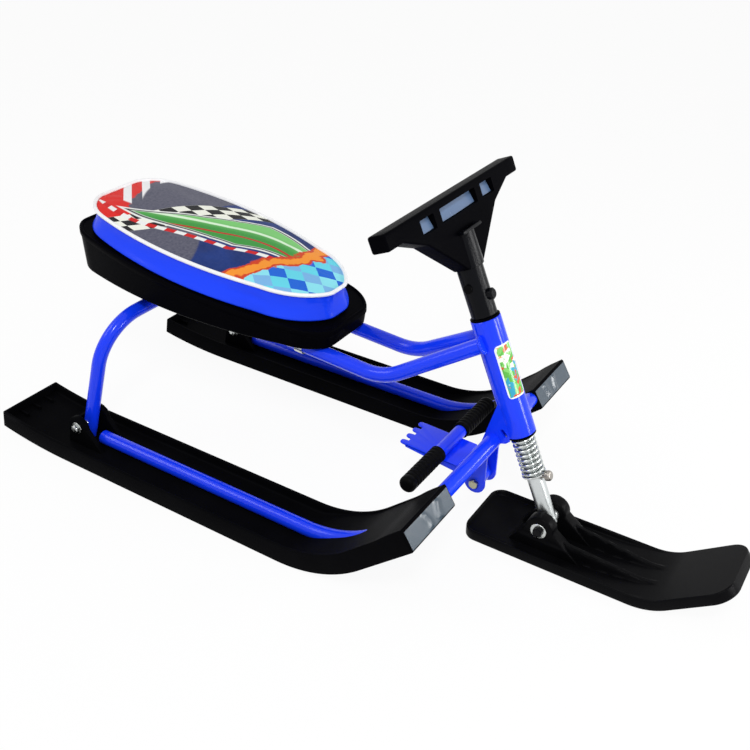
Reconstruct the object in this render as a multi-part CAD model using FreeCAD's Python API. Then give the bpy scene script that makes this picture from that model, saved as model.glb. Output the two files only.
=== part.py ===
import FreeCAD, Part
import math
import os

# Steering sled: two fixed rear skis, a sprung steered front ski, a seat and a foot brake.
# Lengths are in millimetres and angles in degrees. The layout is drawn with X forward from
# the rear skis' tail, Y to the rider's left and Z up from the snow, and is moved at the end
# so that the origin lies under the middle of the sled's length.

# Rear skis
ski_track = 388.0
ski_width = 112.0
ski_tail_run = 140.0
ski_tail_kick = 12.8
ski_nose_start = 565.0
ski_nose_radius = 210.0
ski_nose_angle = 41.5
ski_nose_run = 107.0
ski_tip_lean = 0.18
ski_rim_height = 31.0
ski_rim_wall = 5.0
ski_deck = 16.0
ski_tip_block = 76.0
tail_rib_count = 3
tail_rib_length = 24.0
tail_rib_width = 4.0
tail_rib_height = 6.0
bracket_x = 150.0
bracket_bolt_height = 49.0
bracket_cheek = 9.0
bracket_top_radius = 19.0
bracket_back_run = 26.0
bracket_front_run = 48.0
bracket_web = 5.0

# Bent tube frame
tube_od = 22.0
tube_wall = 1.5
arch_lean = 12.4
arch_leg_angle = 6.5
arch_height = 220.0
arch_foot_height = 20.0
arch_bend = 78.0
main_tube_spacing = 92.0
main_tube_tail_x = 130.0
main_tube_slope = 3.9
main_tube_bend_x = 611.0
main_tube_bend = 90.0
main_tube_end_drop = 30.0
main_tube_end_spacing = 44.0
lower_tube_start_x = 178.0
lower_tube_corner_x = 648.5
lower_tube_bend = 185.0
cross_tube_bend = 45.0
cross_tube_middle_bend = 60.0
cross_tube_rise = 35.3
cross_tube_seat = 2.0
cross_tube_exit_share = 0.2
plug_depth = 12.0
plug_cap = 3.0

# Head tube and steering column
head_bottom_x = 809.0
head_bottom_height = 170.0
head_lean = 23.6
head_length = 174.0
head_od = 42.0
head_wall = 3.0
column_od = 24.0
column_wall = 2.5
column_foot = 40.0
bush_length = 25.0
bush_flange = 3.0
bush_flange_od = 41.0
pivot_drop = 139.0

# Coil spring and its seat
spring_od = 34.0
spring_wire = 4.0
spring_coils = 8
spring_end_bend = 5.0
spring_length = 60.0
seat_ring_od = 35.0
seat_ring = 2.5
stop_bolt_diameter = 6.0
stop_head_diameter = 15.0
stop_head_height = 8.0
stop_head_reach = 6.0

# Steering wheel, a T-shaped yoke in the plane of the column
wheel_half_span = 170.0
wheel_height = 170.0
wheel_bar = 22.0
wheel_depth = 26.0
wheel_neck_height = 70.0
wheel_neck_half = 20.0
wheel_knee_half = 90.0
wheel_knee_height = 128.0
wheel_tip_run = 33.0
wheel_sleeve_od = 36.0
wheel_edge = 3.0
pocket_foot = 142.0
pocket_height = 18.0
pocket_depth = 16.0
middle_pocket_half = 46.0
side_pocket_start = 62.0
side_pocket_end = 94.0
wheel_screw_height = 44.0
wheel_screw_diameter = 6.0
wheel_boss_diameter = 16.0
wheel_boss_height = 6.0

# Front ski
front_ski_tail = 107.0
front_ski_width = 116.0
front_ski_flat = 143.0
front_ski_nose_radius = 90.0
front_ski_nose_angle = 36.0
front_ski_nose_run = 94.0
front_ski_rim = 16.0
front_ski_rim_wall = 6.0
front_ski_base = 9.0
front_ski_tail_corner = 20.0
front_ski_tip_corner = 28.0
cheek_thickness = 20.0
cheek_radius = 21.0
cheek_foot_back = 46.0
cheek_foot_front = 66.0
rib_length = 178.0
rib_width = 9.0
rib_height = 24.0
rib_end_height = 3.0
rib_end_half = 17.0

# Brake and the gusset plates that carry it
gusset = 3.0
gusset_gap = 33.0
gusset_top = 213.0
gusset_front = 13.0
gusset_slot_height = 175.0
gusset_slot_length = 14.0
gusset_slot_width = 6.0
gusset_slot_back = 18.0
gusset_slot_lean = 45.0
brake_pivot_x = 754.0
brake_pivot_height = 70.0
ear_radius = 16.0
brake_sheet = 2.5
brake_width = 64.0
brake_length = 121.0
brake_rise = 28.0
brake_slope = 2.6
brake_neck = 24.0
brake_flange = 12.0
brake_barrel_od = 20.0
tooth_count = 4
tooth_width = 11.0
tooth_length = 14.0
foot_bar_od = 20.0
foot_bar_wall = 1.5
foot_bar_back = 54.0
grip_start = 33.5
grip_end = 126.0
grip_od = 25.0
grip_groove = 1.2
grip_ribs = 8
grip_insert = 80.0

# Seat
tray_tail_x = 56.0
tray_front_x = 523.0
tray_half_width = 118.0
tray_tail_half = 104.0
tray_front_half = 84.0
tray_tail_flat = 70.0
tray_front_flat = 46.0
tray_tail_run = 44.0
tray_front_run = 60.0
tray_wide_x = 250.0
tray_wall = 3.0
tray_boss_od = 12.0
tray_front_height = 30.0
tail_corner_share = 0.3
front_corner_share = 0.28
seat_slope = 8.7
cushion_tail_x = 65.0
cushion_front_x = 508.0
cushion_half_width = 114.0
cushion_tail_half = 99.0
cushion_front_half = 88.0
cushion_tail_flat = 44.0
cushion_front_flat = 20.0
cushion_tail_run = 56.0
cushion_front_run = 90.0
cushion_wide_x = 235.0
cushion_side = 33.0
cushion_front_rise = 7.0
cushion_drawn_in = 4.0
cushion_top_inset = 14.0
cushion_end_inset = 5.0
cushion_crown = 10.0
cushion_crown_inset = 60.0
crown_steps = 3
clip_x = 470.0
clip_width = 14.0
clip_sheet = 2.0
clip_ear = 14.0
clip_screw_diameter = 4.0
clip_screw_head = 8.0
clip_screw_length = 16.0

# Fasteners and fits
bolt_diameter = 8.0
bolt_head_width = 13.0
bolt_head_height = 5.5
nut_height = 6.5
washer_od = 20.0
washer = 1.8
pivot_washer_od = 24.0
running_fit = 0.05
bolt_fit = 0.1
weld_gap = 0.05
side_play = 1.0
seat_gap = 0.3

V = FreeCAD.Vector
along_x = V(1, 0, 0)
along_y = V(0, 1, 0)
along_z = V(0, 0, 1)


def sin(angle):
    return math.sin(math.radians(angle))


def cos(angle):
    return math.cos(math.radians(angle))


def tan(angle):
    return math.tan(math.radians(angle))


# A closed face from a ring of points joined by straight edges.
def polygon(points):
    return Part.Face(Part.makePolygon(points + points[:1]))


# A flat outline in the X-Z plane, given as (x, z) pairs, pushed out between two Y values.
def slab(outline, y_from, y_to):
    face = polygon([V(x, y_from, z) for x, z in outline])
    return face.extrude(V(0, y_to - y_from, 0))


def cylinder(radius, start, end):
    return Part.makeCylinder(radius, start.distanceToPoint(end), start, end - start)


def mirrored(shape):
    return shape.mirror(V(0, 0, 0), along_y)


# A path of straight runs joined by tangent arcs, with one radius for each inner corner.
def bent_wire(points, radii):
    edges = []
    start = points[0]
    for before, corner, after, radius in zip(points, points[1:], points[2:], radii):
        into = (corner - before).normalize()
        out = (after - corner).normalize()
        turn = into.getAngle(out)
        run = radius * math.tan(turn / 2)
        arc_start = corner - into * run
        arc_end = corner + out * run
        inward = (out - into).normalize()
        arc_middle = corner + inward * (radius / math.cos(turn / 2) - radius)
        edges.append(Part.LineSegment(start, arc_start).toShape())
        edges.append(Part.Arc(arc_start, arc_middle, arc_end).toShape())
        start = arc_end
    edges.append(Part.LineSegment(start, points[-1]).toShape())
    return Part.Wire(edges)


# A round bar swept along a path.
def rod(path, diameter):
    first = path.Edges[0]
    start = first.valueAt(first.FirstParameter)
    heading = first.tangentAt(first.FirstParameter)
    ring = Part.Wire(Part.makeCircle(diameter / 2, start, heading))
    return path.makePipeShell([ring], True, False)


def tube(path, diameter, wall):
    return rod(path, diameter).cut(rod(path, diameter - 2 * wall))


# A hexagon of the given width across flats, from one point to another.
def hexagon(width, start, end):
    axis = (end - start).normalize()
    corner = width / 2 / cos(30)
    ring = []
    for step in range(6):
        ring.append(V(corner * cos(60 * step), corner * sin(60 * step), 0))
    bar = polygon(ring).extrude(along_z * start.distanceToPoint(end))
    bar.Placement = FreeCAD.Placement(start, FreeCAD.Rotation(along_z, axis))
    return bar


# A hexagon bolt lying along Y: its head is outside y_head and its shank ends beyond y_end.
def cross_bolt(x, z, y_head, y_end):
    way = math.copysign(1, y_end - y_head)
    under_head = V(x, y_head, z)
    head = hexagon(bolt_head_width, under_head - along_y * way * bolt_head_height, under_head)
    return head.fuse(cylinder(bolt_diameter / 2, under_head, V(x, y_end, z))).removeSplitter()


# A flat ring round a bolt, standing from y_from to y_to.
def cross_ring(x, z, outer, bore, y_from, y_to):
    ring = cylinder(outer / 2, V(x, y_from, z), V(x, y_to, z))
    return ring.cut(cylinder(bore / 2, V(x, y_from, z), V(x, y_to, z)))


def cross_nut(x, z, y_from, y_to):
    nut = hexagon(bolt_head_width, V(x, y_from, z), V(x, y_to, z))
    return nut.cut(cylinder(bolt_diameter / 2 + bolt_fit, V(x, y_from, z), V(x, y_to, z)))


# The head axis: height along it is counted from the head tube's lower end.
head_foot = V(head_bottom_x, 0, head_bottom_height)
head_axis = V(-sin(head_lean), 0, cos(head_lean))
head_place = FreeCAD.Placement(head_foot, FreeCAD.Rotation(along_y, -head_lean))


# A piece drawn upright round the Z axis, stood on the head axis.
def on_head(shape):
    moved = shape.copy()
    moved.Placement = head_place.multiply(moved.Placement)
    return moved


def head_point(height):
    return head_foot + head_axis * height


def ring_on_axis(outer, bore, low, high):
    ring = Part.makeCylinder(outer / 2, high - low, V(0, 0, low))
    return ring.cut(Part.makeCylinder(bore / 2, high - low, V(0, 0, low)))


pivot = head_point(-pivot_drop)
sled_length = pivot.x + front_ski_flat + front_ski_nose_radius * sin(front_ski_nose_angle)
sled_length += front_ski_nose_run * cos(front_ski_nose_angle)


# Every node is moved so that the sled's middle lies over the origin, and written out.
def save(name, *solids):
    shape = solids[0] if len(solids) == 1 else Part.makeCompound(list(solids))
    moved = shape.copy()
    moved.translate(V(-sled_length / 2, 0, 0))
    moved.exportStep("parts/" + name + ".step")


os.makedirs("parts", exist_ok=True)

# Rear ski: a long moulded tray whose running face is flat, kicked up a little at the tail
# and turned up at the nose. Every level of it is the running face's line, moved up square.
tail_radius = (ski_tail_run ** 2 + ski_tail_kick ** 2) / (2 * ski_tail_kick)
tail_angle = math.degrees(math.asin(ski_tail_run / tail_radius))
half_track = ski_track / 2


# The ski's line at one level, from an inset at the tail to an inset at the tip.
def ski_line(level, tail_inset, tip_inset):
    tail = tail_angle - math.degrees(tail_inset / tail_radius)
    nose = ski_nose_angle

    def on_tail(angle):
        radius = tail_radius - level
        return V(ski_tail_run - radius * sin(angle), 0, tail_radius - radius * cos(angle))

    def on_nose(angle):
        radius = ski_nose_radius - level
        return V(ski_nose_start + radius * sin(angle), 0, ski_nose_radius - radius * cos(angle))

    run = ski_nose_run - tip_inset + level * ski_tip_lean
    tip = on_nose(nose) + V(cos(nose), 0, sin(nose)) * run
    return [
        Part.Arc(on_tail(tail), on_tail(tail / 2), on_tail(0)).toShape(),
        Part.LineSegment(on_tail(0), on_nose(0)).toShape(),
        Part.Arc(on_nose(0), on_nose(nose / 2), on_nose(nose)).toShape(),
        Part.LineSegment(on_nose(nose), tip).toShape(),
    ]


# The space between two levels of the ski, over a width about its middle.
def ski_band(low, high, tail_inset, tip_inset, width):
    under = ski_line(low, tail_inset, tip_inset)
    over = ski_line(high, tail_inset, tip_inset)
    tail = Part.LineSegment(under[0].firstVertex().Point, over[0].firstVertex().Point).toShape()
    tip = Part.LineSegment(under[-1].lastVertex().Point, over[-1].lastVertex().Point).toShape()
    wire = Part.Wire(Part.sortEdges(under + over + [tail, tip])[0])
    band = Part.Face(wire).extrude(along_y * width)
    band.translate(along_y * -width / 2)
    return band


# The arch's leaning plane: how far forward it stands at a height, and how far out a leg is.
def arch_x(height):
    return bracket_x + (height - bracket_bolt_height) * tan(arch_lean)


def arch_leg_y(height):
    return half_track - (height - arch_foot_height) * tan(arch_leg_angle)


bolt_at = V(arch_x(bracket_bolt_height), arch_leg_y(bracket_bolt_height), bracket_bolt_height)
leg_shift = half_track - arch_leg_y(bracket_bolt_height + bracket_top_radius)
cheek_gap = tube_od / 2 + leg_shift + side_play
cheek_outer = cheek_gap + bracket_cheek

# Cross tube: a shallow V from ski tip to ski tip, whose point lies on the head tube's back.
lower_tube_height = ski_deck + tube_od / 2 + seat_gap
head_ahead = V(cos(head_lean), 0, sin(head_lean))
cross_middle = head_point(cross_tube_seat) - head_ahead * (head_od / 2 + tube_od / 2 + weld_gap)
lower_corner = V(lower_tube_corner_x, half_track, lower_tube_height)
cross_corner_height = cross_middle.z - cross_tube_rise
cross_corner_run = (cross_corner_height - lower_tube_height) / tan(ski_nose_angle)
cross_corner = V(lower_tube_corner_x + cross_corner_run, half_track, cross_corner_height)
cross_share = (half_track - ski_width / 2 + ski_rim_wall / 2) / half_track
cross_joint = cross_middle + (cross_corner - cross_middle) * cross_share
lower_start = V(lower_tube_start_x, half_track, lower_tube_height)
lower_path = bent_wire(
    [lower_start, lower_corner, cross_corner, cross_joint], [lower_tube_bend, cross_tube_bend])
cross_far_joint = V(cross_joint.x, -cross_joint.y, cross_joint.z)
cross_path = bent_wire([cross_joint, cross_middle, cross_far_joint], [cross_tube_middle_bend])


# One cheek of the ski's bracket, seen from the side: a rounded top over a wide foot.
def bracket_cheek_at(y_from, y_to):
    foot = ski_deck - weld_gap
    outline = [
        (bolt_at.x - bracket_back_run, foot),
        (bolt_at.x - bracket_top_radius, bolt_at.z),
        (bolt_at.x + bracket_top_radius, bolt_at.z),
        (bolt_at.x + bracket_front_run, foot),
    ]
    top = cylinder(bracket_top_radius, V(bolt_at.x, y_from, bolt_at.z), V(bolt_at.x, y_to, bolt_at.z))
    return slab(outline, y_from, y_to).fuse(top)


def rear_ski():
    ski = ski_band(0, ski_rim_height, 0, 0, ski_width)
    inner_width = ski_width - 2 * ski_rim_wall
    pocket_top = 2 * ski_rim_height
    ski = ski.cut(ski_band(ski_deck, pocket_top, ski_rim_wall, ski_tip_block, inner_width))
    for side in (-1, 1):
        ski = ski.fuse(bracket_cheek_at(side * cheek_gap, side * cheek_outer))
    web_x = bolt_at.x - bracket_back_run
    web_height = bolt_at.z - ski_deck
    web = Part.makeBox(bracket_web, 2 * cheek_gap, web_height, V(web_x, -cheek_gap, ski_deck))
    ski = ski.fuse(web)
    rib_pitch = inner_width / (tail_rib_count + 1)
    for number in range(tail_rib_count):
        y = (number + 1) * rib_pitch - inner_width / 2 - tail_rib_width / 2
        rib_top = ski_deck + tail_rib_height + ski_tail_kick
        rib = Part.makeBox(tail_rib_length, tail_rib_width, rib_top, V(ski_rim_wall, y, ski_tail_kick))
        ski = ski.fuse(rib)
    ski.translate(along_y * half_track)
    bore = bolt_diameter / 2 + bolt_fit
    inside = V(bolt_at.x, half_track - cheek_outer, bolt_at.z)
    outside = V(bolt_at.x, half_track + cheek_outer, bolt_at.z)
    ski = ski.cut(cylinder(bore, inside, outside))
    exit_point = cross_joint + (cross_middle - cross_joint) * cross_tube_exit_share
    through = bent_wire(
        [lower_start, lower_corner, cross_corner, exit_point], [lower_tube_bend, cross_tube_bend])
    return ski.cut(rod(through, tube_od + 2 * seat_gap)).removeSplitter()


left_ski = rear_ski()
save("rear_ski_left", left_ski)
save("rear_ski_right", mirrored(left_ski))

# Arch: two legs in the brackets and a level bar across, in a plane that leans forward.
arch_points = []
for side in (1, -1):
    foot = V(arch_x(arch_foot_height), side * arch_leg_y(arch_foot_height), arch_foot_height)
    shoulder = V(arch_x(arch_height), side * arch_leg_y(arch_height), arch_height)
    arch_points += [foot, shoulder] if side > 0 else [shoulder, foot]
arch = tube(bent_wire(arch_points, [arch_bend, arch_bend]), tube_od, tube_wall)
outer_y = half_track + cheek_outer
arch = arch.cut(cylinder(bolt_diameter / 2 + bolt_fit, V(bolt_at.x, -outer_y, bolt_at.z),
                         V(bolt_at.x, outer_y, bolt_at.z)))
save("rear_arch", arch)

bolts = []
nuts = []
washers = []
outer_face = half_track + cheek_outer
inner_face = half_track - cheek_outer
for side in (-1, 1):
    nut_end = inner_face - washer - nut_height
    bolts.append(cross_bolt(bolt_at.x, bolt_at.z, side * (outer_face + washer), side * (nut_end - washer)))
    nuts.append(cross_nut(bolt_at.x, bolt_at.z, side * (inner_face - washer), side * nut_end))
    for face, way in ((outer_face, 1), (inner_face, -1)):
        washers.append(cross_ring(bolt_at.x, bolt_at.z, washer_od, bolt_diameter + 2 * bolt_fit,
                                  side * face, side * (face + way * washer)))
save("rear_ski_bolts", *bolts)
save("rear_ski_nuts", *nuts)
save("rear_ski_washers", *washers)

left_lower_tube = tube(lower_path, tube_od, tube_wall)
save("lower_tube_left", left_lower_tube)
save("lower_tube_right", mirrored(left_lower_tube))

# Head tube, and the tubes that are welded to it with their ends cut to its round wall.
head_solid = on_head(Part.makeCylinder(head_od / 2 + weld_gap, head_length))
save("head_tube", on_head(ring_on_axis(head_od, head_od - 2 * head_wall, 0, head_length)))
save("cross_tube", tube(cross_path, tube_od, tube_wall).cut(head_solid))

# Main tubes rest on the arch's bar, slope down forward and rise to the sides of the head tube.
main_half = main_tube_spacing / 2
main_rest_height = arch_height + tube_od + weld_gap


def main_tube_height(x):
    return main_rest_height - (x - arch_x(arch_height)) * tan(main_tube_slope)


main_end = head_point(head_length - main_tube_end_drop) + along_y * main_tube_end_spacing / 2
main_tail = V(main_tube_tail_x, main_half, main_tube_height(main_tube_tail_x))
main_corner = V(main_tube_bend_x, main_half, main_tube_height(main_tube_bend_x))
main_path = bent_wire([main_tail, main_corner, main_end], [main_tube_bend])
left_main_tube = tube(main_path, tube_od, tube_wall).cut(head_solid)
left_main_tube = max(left_main_tube.Solids, key=lambda solid: solid.Volume)
save("main_tube_left", left_main_tube)
save("main_tube_right", mirrored(left_main_tube))

plug_way = (main_corner - main_tail).normalize()
plug_bore = tube_od / 2 - tube_wall - weld_gap
left_plug = cylinder(plug_bore, main_tail, main_tail + plug_way * plug_depth)
left_plug = left_plug.fuse(cylinder(tube_od / 2, main_tail - plug_way * plug_cap, main_tail))
left_plug = left_plug.removeSplitter()
save("tube_plugs", left_plug, mirrored(left_plug))

# Gusset plates: they stand on both sides of the head tube's foot and end below in round ears.
gusset_inner = gusset_gap / 2
gusset_outer = gusset_inner + gusset
brake_pivot = V(brake_pivot_x, 0, brake_pivot_height)


def head_axis_x(height):
    return head_bottom_x - (height - head_bottom_height) * tan(head_lean)


def gusset_plate():
    outline = [
        (brake_pivot.x - ear_radius, brake_pivot.z),
        (head_axis_x(gusset_top) - gusset_front, gusset_top),
        (head_axis_x(gusset_top), gusset_top),
        (head_bottom_x, head_bottom_height),
        (head_bottom_x - gusset_front, head_bottom_height - gusset_front),
        (brake_pivot.x + ear_radius, cross_middle.z - tube_od / 2),
        (brake_pivot.x + ear_radius, brake_pivot.z),
    ]
    slot_high = V(head_axis_x(gusset_slot_height) - gusset_slot_back, 0, gusset_slot_height)
    slot_way = V(sin(gusset_slot_lean), 0, -cos(gusset_slot_lean))
    slot_side = V(cos(gusset_slot_lean), 0, sin(gusset_slot_lean)) * gusset_slot_width / 2
    slot_low = slot_high + slot_way * (gusset_slot_length - gusset_slot_width)
    ring = [slot_high + slot_side, slot_low + slot_side, slot_low - slot_side, slot_high - slot_side]
    slot = polygon(ring).extrude(along_y * 2 * gusset_outer)
    for end in (slot_high, slot_low):
        slot = slot.fuse(cylinder(gusset_slot_width / 2, end, end + along_y * 2 * gusset_outer))
    ear_inner = V(brake_pivot.x, gusset_inner, brake_pivot.z)
    ear_outer = V(brake_pivot.x, gusset_outer, brake_pivot.z)
    plate = slab(outline, gusset_inner, gusset_outer)
    plate = plate.fuse(cylinder(ear_radius, ear_inner, ear_outer)).removeSplitter()
    plate = plate.cut(cylinder(bolt_diameter / 2 + bolt_fit, ear_inner, ear_outer)).cut(slot)
    plate = plate.cut(rod(cross_path, tube_od + 2 * weld_gap)).cut(head_solid)
    room = bush_flange + 2 * seat_gap + side_play
    plate = plate.cut(on_head(Part.makeCylinder(bush_flange_od / 2 + side_play, room, V(0, 0, -room))))
    return max(plate.Solids, key=lambda solid: solid.Volume)


left_gusset = gusset_plate()
save("gusset_left", left_gusset)
save("gusset_right", mirrored(left_gusset))
nut_face = gusset_outer + nut_height
save("brake_bolt", cross_bolt(brake_pivot.x, brake_pivot.z, -gusset_outer, nut_face + washer))
save("brake_nut", cross_nut(brake_pivot.x, brake_pivot.z, gusset_outer, nut_face))

# Brake: a claw plate of folded sheet on a pivot barrel, with a foot bar and grips on top.
tongue_half = gusset_inner - side_play


# A place on the plate's top, counted back from the pivot, and a drop under it.
def brake_point(back, drop):
    return (brake_pivot.x - back, brake_pivot.z + brake_rise + back * tan(brake_slope) - drop)


def brake_plate():
    root = brake_length - tooth_length
    half = brake_width / 2
    deck = [brake_point(brake_neck, 0), brake_point(root, 0),
            brake_point(root, brake_sheet), brake_point(brake_neck, brake_sheet)]
    plate = slab(deck, -half, half)
    flange = [brake_point(brake_neck, 0), brake_point(root, 0),
              brake_point(root, 2 * brake_sheet), brake_point(brake_neck, brake_flange)]
    for side in (-1, 1):
        plate = plate.fuse(slab(flange, side * (half - brake_sheet), side * half))
    tooth_pitch = (brake_width - tooth_width) / (tooth_count - 1)
    tooth_round = tooth_width / 2
    tooth = [brake_point(root - tooth_round, 0), brake_point(brake_length - tooth_round, 0),
             brake_point(brake_length - tooth_round, brake_sheet),
             brake_point(root - tooth_round, brake_sheet)]
    tip_x, tip_z = brake_point(brake_length - tooth_round, brake_sheet)
    for number in range(tooth_count):
        y = number * tooth_pitch - half + tooth_round
        plate = plate.fuse(slab(tooth, y - tooth_round, y + tooth_round))
        plate = plate.fuse(Part.makeCylinder(tooth_round, brake_sheet, V(tip_x, y, tip_z)))
    barrel = brake_barrel_od / 2
    tongue = [brake_point(brake_neck + brake_sheet, 0), brake_point(0, brake_sheet),
              (brake_pivot.x + barrel, brake_pivot.z), (brake_pivot.x - barrel, brake_pivot.z),
              brake_point(brake_neck + brake_sheet, brake_flange)]
    plate = plate.fuse(slab(tongue, -tongue_half, tongue_half))
    left_end = brake_pivot + along_y * tongue_half
    right_end = brake_pivot - along_y * tongue_half
    plate = plate.fuse(cylinder(barrel, right_end, left_end)).removeSplitter()
    return plate.cut(cylinder(bolt_diameter / 2 + running_fit, right_end, left_end))


save("brake_plate", brake_plate())

bar_x, bar_seat = brake_point(foot_bar_back, 0)
bar_height = bar_seat + foot_bar_od / 2 + weld_gap
bar_end = grip_start + grip_insert
foot_bar = tube(Part.Wire(Part.makeLine(V(bar_x, -bar_end, bar_height), V(bar_x, bar_end, bar_height))),
                foot_bar_od, foot_bar_wall)
save("brake_foot_bar", foot_bar)


# A ribbed rubber grip on the bar's left end, closed and rounded outside.
def brake_grip():
    groove_radius = grip_od / 2 - grip_groove
    grip = cylinder(groove_radius, V(bar_x, grip_start, bar_height), V(bar_x, grip_end, bar_height))
    outer_edge = [edge for edge in grip.Edges if edge.CenterOfMass.y > grip_end - weld_gap]
    grip = grip.makeFillet(groove_radius / 2, outer_edge[:1])
    pitch = grip_insert / grip_ribs
    for number in range(grip_ribs):
        y = grip_start + number * pitch
        rib_end = V(bar_x, y + pitch / 2, bar_height)
        grip = grip.fuse(cylinder(grip_od / 2, V(bar_x, y, bar_height), rib_end))
    hole = cylinder(foot_bar_od / 2 + weld_gap, V(bar_x, grip_start, bar_height),
                    V(bar_x, bar_end, bar_height))
    return grip.removeSplitter().cut(hole)


left_grip = brake_grip()
save("brake_grip_left", left_grip)
save("brake_grip_right", mirrored(left_grip))

# Seat: a wedge-shaped hollow moulded tray that lies on the main tubes, and a padded cushion.
tray_front_foot = main_tube_height(tray_front_x) + tube_od / 2 / cos(main_tube_slope) + seat_gap


def tray_foot(x):
    return tray_front_foot + (tray_front_x - x) * tan(main_tube_slope)


def seat_plane(x):
    return tray_front_foot + tray_front_height + (tray_front_x - x) * tan(seat_slope)


# A rounded corner's middle: the chord's middle moved a share of the way to the square corner.
def corner_middle(start, end, square, share):
    chord = (start + end) * 0.5
    return chord + (square - chord) * share


# A seat outline, blunt or round at both ends and widest near the tail, as lines and arcs.
# It is drawn in at its ends and sides and lies at a height over the tilted seat plane,
# which may rise a little more to the front.
def seat_wire(ends, halves, flats, runs, wide_x, insets, height, front_rise):
    tail_x, front_x = ends
    tail_half, wide_half, front_half = halves
    tail_flat, front_flat = flats
    tail_run, front_run = runs
    tail = V(tail_x, tail_flat, 0)
    tail_side = V(tail_x + tail_run, tail_half, 0)
    front_side = V(front_x - front_run, front_half, 0)
    front = V(front_x, front_flat, 0)
    half = [
        tail,
        corner_middle(tail, tail_side, V(tail_x, tail_half, 0), tail_corner_share),
        tail_side,
        V(wide_x, wide_half, 0),
        front_side,
        corner_middle(front_side, front, V(front_x, front_half, 0), front_corner_share),
        front,
    ]
    middle_x = (tail_x + front_x) / 2
    end_inset, side_inset = insets
    length_share = 1 - 2 * end_inset / (front_x - tail_x)
    width_share = 1 - side_inset / wide_half
    ring = []
    for point in half:
        x = middle_x + (point.x - middle_x) * length_share
        rise = front_rise * (x - tail_x) / (front_x - tail_x)
        ring.append(V(x, point.y * width_share, seat_plane(x) + height + rise))
    other = [V(point.x, -point.y, point.z) for point in reversed(ring)]
    edges = []
    for side in (ring, other):
        for first in (0, 2, 4):
            edges.append(Part.Arc(side[first], side[first + 1], side[first + 2]).toShape())
    edges.insert(3, Part.makeLine(ring[-1], other[0]))
    edges.append(Part.makeLine(other[-1], ring[0]))
    return Part.Wire(edges)


def tray_wire(inset, height):
    return seat_wire((tray_tail_x, tray_front_x), (tray_tail_half, tray_half_width, tray_front_half),
                     (tray_tail_flat, tray_front_flat), (tray_tail_run, tray_front_run),
                     tray_wide_x, (inset, inset), height, 0)


def cushion_wire(end_inset, side_inset, height, front_rise):
    return seat_wire((cushion_tail_x, cushion_front_x),
                     (cushion_tail_half, cushion_half_width, cushion_front_half),
                     (cushion_tail_flat, cushion_front_flat), (cushion_tail_run, cushion_front_run),
                     cushion_wide_x, (end_inset, side_inset), height, front_rise)


tray_depth = seat_plane(tray_tail_x) - tray_foot(tray_tail_x) + tray_front_height
screw_offset = tube_od / 2 + clip_sheet + clip_ear / 2
clip_foot = V(clip_x, main_half, main_tube_height(clip_x))
clip_place = FreeCAD.Placement(clip_foot, FreeCAD.Rotation(along_y, main_tube_slope))
clip_seat = tube_od / 2 + seat_gap


# A piece drawn along X under the tray, set on the left main tube's line.
def on_main_tube(shape):
    moved = shape.copy()
    moved.Placement = clip_place.multiply(moved.Placement)
    return moved


# All that lies under the tray's foot plane raised by a height.
def under_tray(rise):
    tail_x = tray_tail_x - tray_half_width
    front_x = tray_front_x + tray_half_width
    low = seat_plane(tray_front_x) - 2 * tray_depth
    outline = [(tail_x, low), (front_x, low), (front_x, tray_foot(front_x) + rise),
               (tail_x, tray_foot(tail_x) + rise)]
    return slab(outline, -2 * tray_half_width, 2 * tray_half_width)


def seat_tray():
    tray = Part.Face(tray_wire(0, 0)).extrude(along_z * -tray_depth).cut(under_tray(0))
    cavity = Part.Face(tray_wire(tray_wall, -tray_wall)).extrude(along_z * -tray_depth)
    cavity = cavity.cut(under_tray(tray_wall))
    for across in (-1, 1):
        foot = V(0, across * screw_offset, 0)
        boss = on_main_tube(Part.makeCylinder(tray_boss_od / 2, tray_depth, foot))
        cavity = cavity.cut(boss).cut(mirrored(boss))
    tray = tray.cut(cavity)
    for across in (-1, 1):
        foot = V(0, across * screw_offset, clip_seat - clip_sheet)
        hole = on_main_tube(Part.makeCylinder(clip_screw_diameter / 2 + bolt_fit, clip_screw_length, foot))
        tray = tray.cut(hole).cut(mirrored(hole))
    return tray


save("seat_tray", seat_tray())

# Cushion: sides drawn in between the foot and the piped edge, and a crown that levels off.
side_middle = seat_gap + cushion_side / 2
side_top = seat_gap + cushion_side
side_sections = [
    cushion_wire(0, 0, seat_gap, 0),
    cushion_wire(cushion_end_inset / 2 + cushion_drawn_in, cushion_top_inset / 2 + cushion_drawn_in,
                 side_middle, cushion_front_rise / 2),
    cushion_wire(cushion_end_inset, cushion_top_inset, side_top, cushion_front_rise),
]
crown_sections = []
for step in range(crown_steps + 1):
    share = step / crown_steps
    rise = cushion_crown * (1 - (1 - share) ** 2)
    inset = cushion_crown_inset * share
    crown_sections.append(cushion_wire(cushion_end_inset + inset, cushion_top_inset + inset,
                                       side_top + rise, cushion_front_rise))
cushion = Part.makeLoft(side_sections, True, False).fuse(Part.makeLoft(crown_sections, True, False))
save("seat_cushion", cushion)


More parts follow.
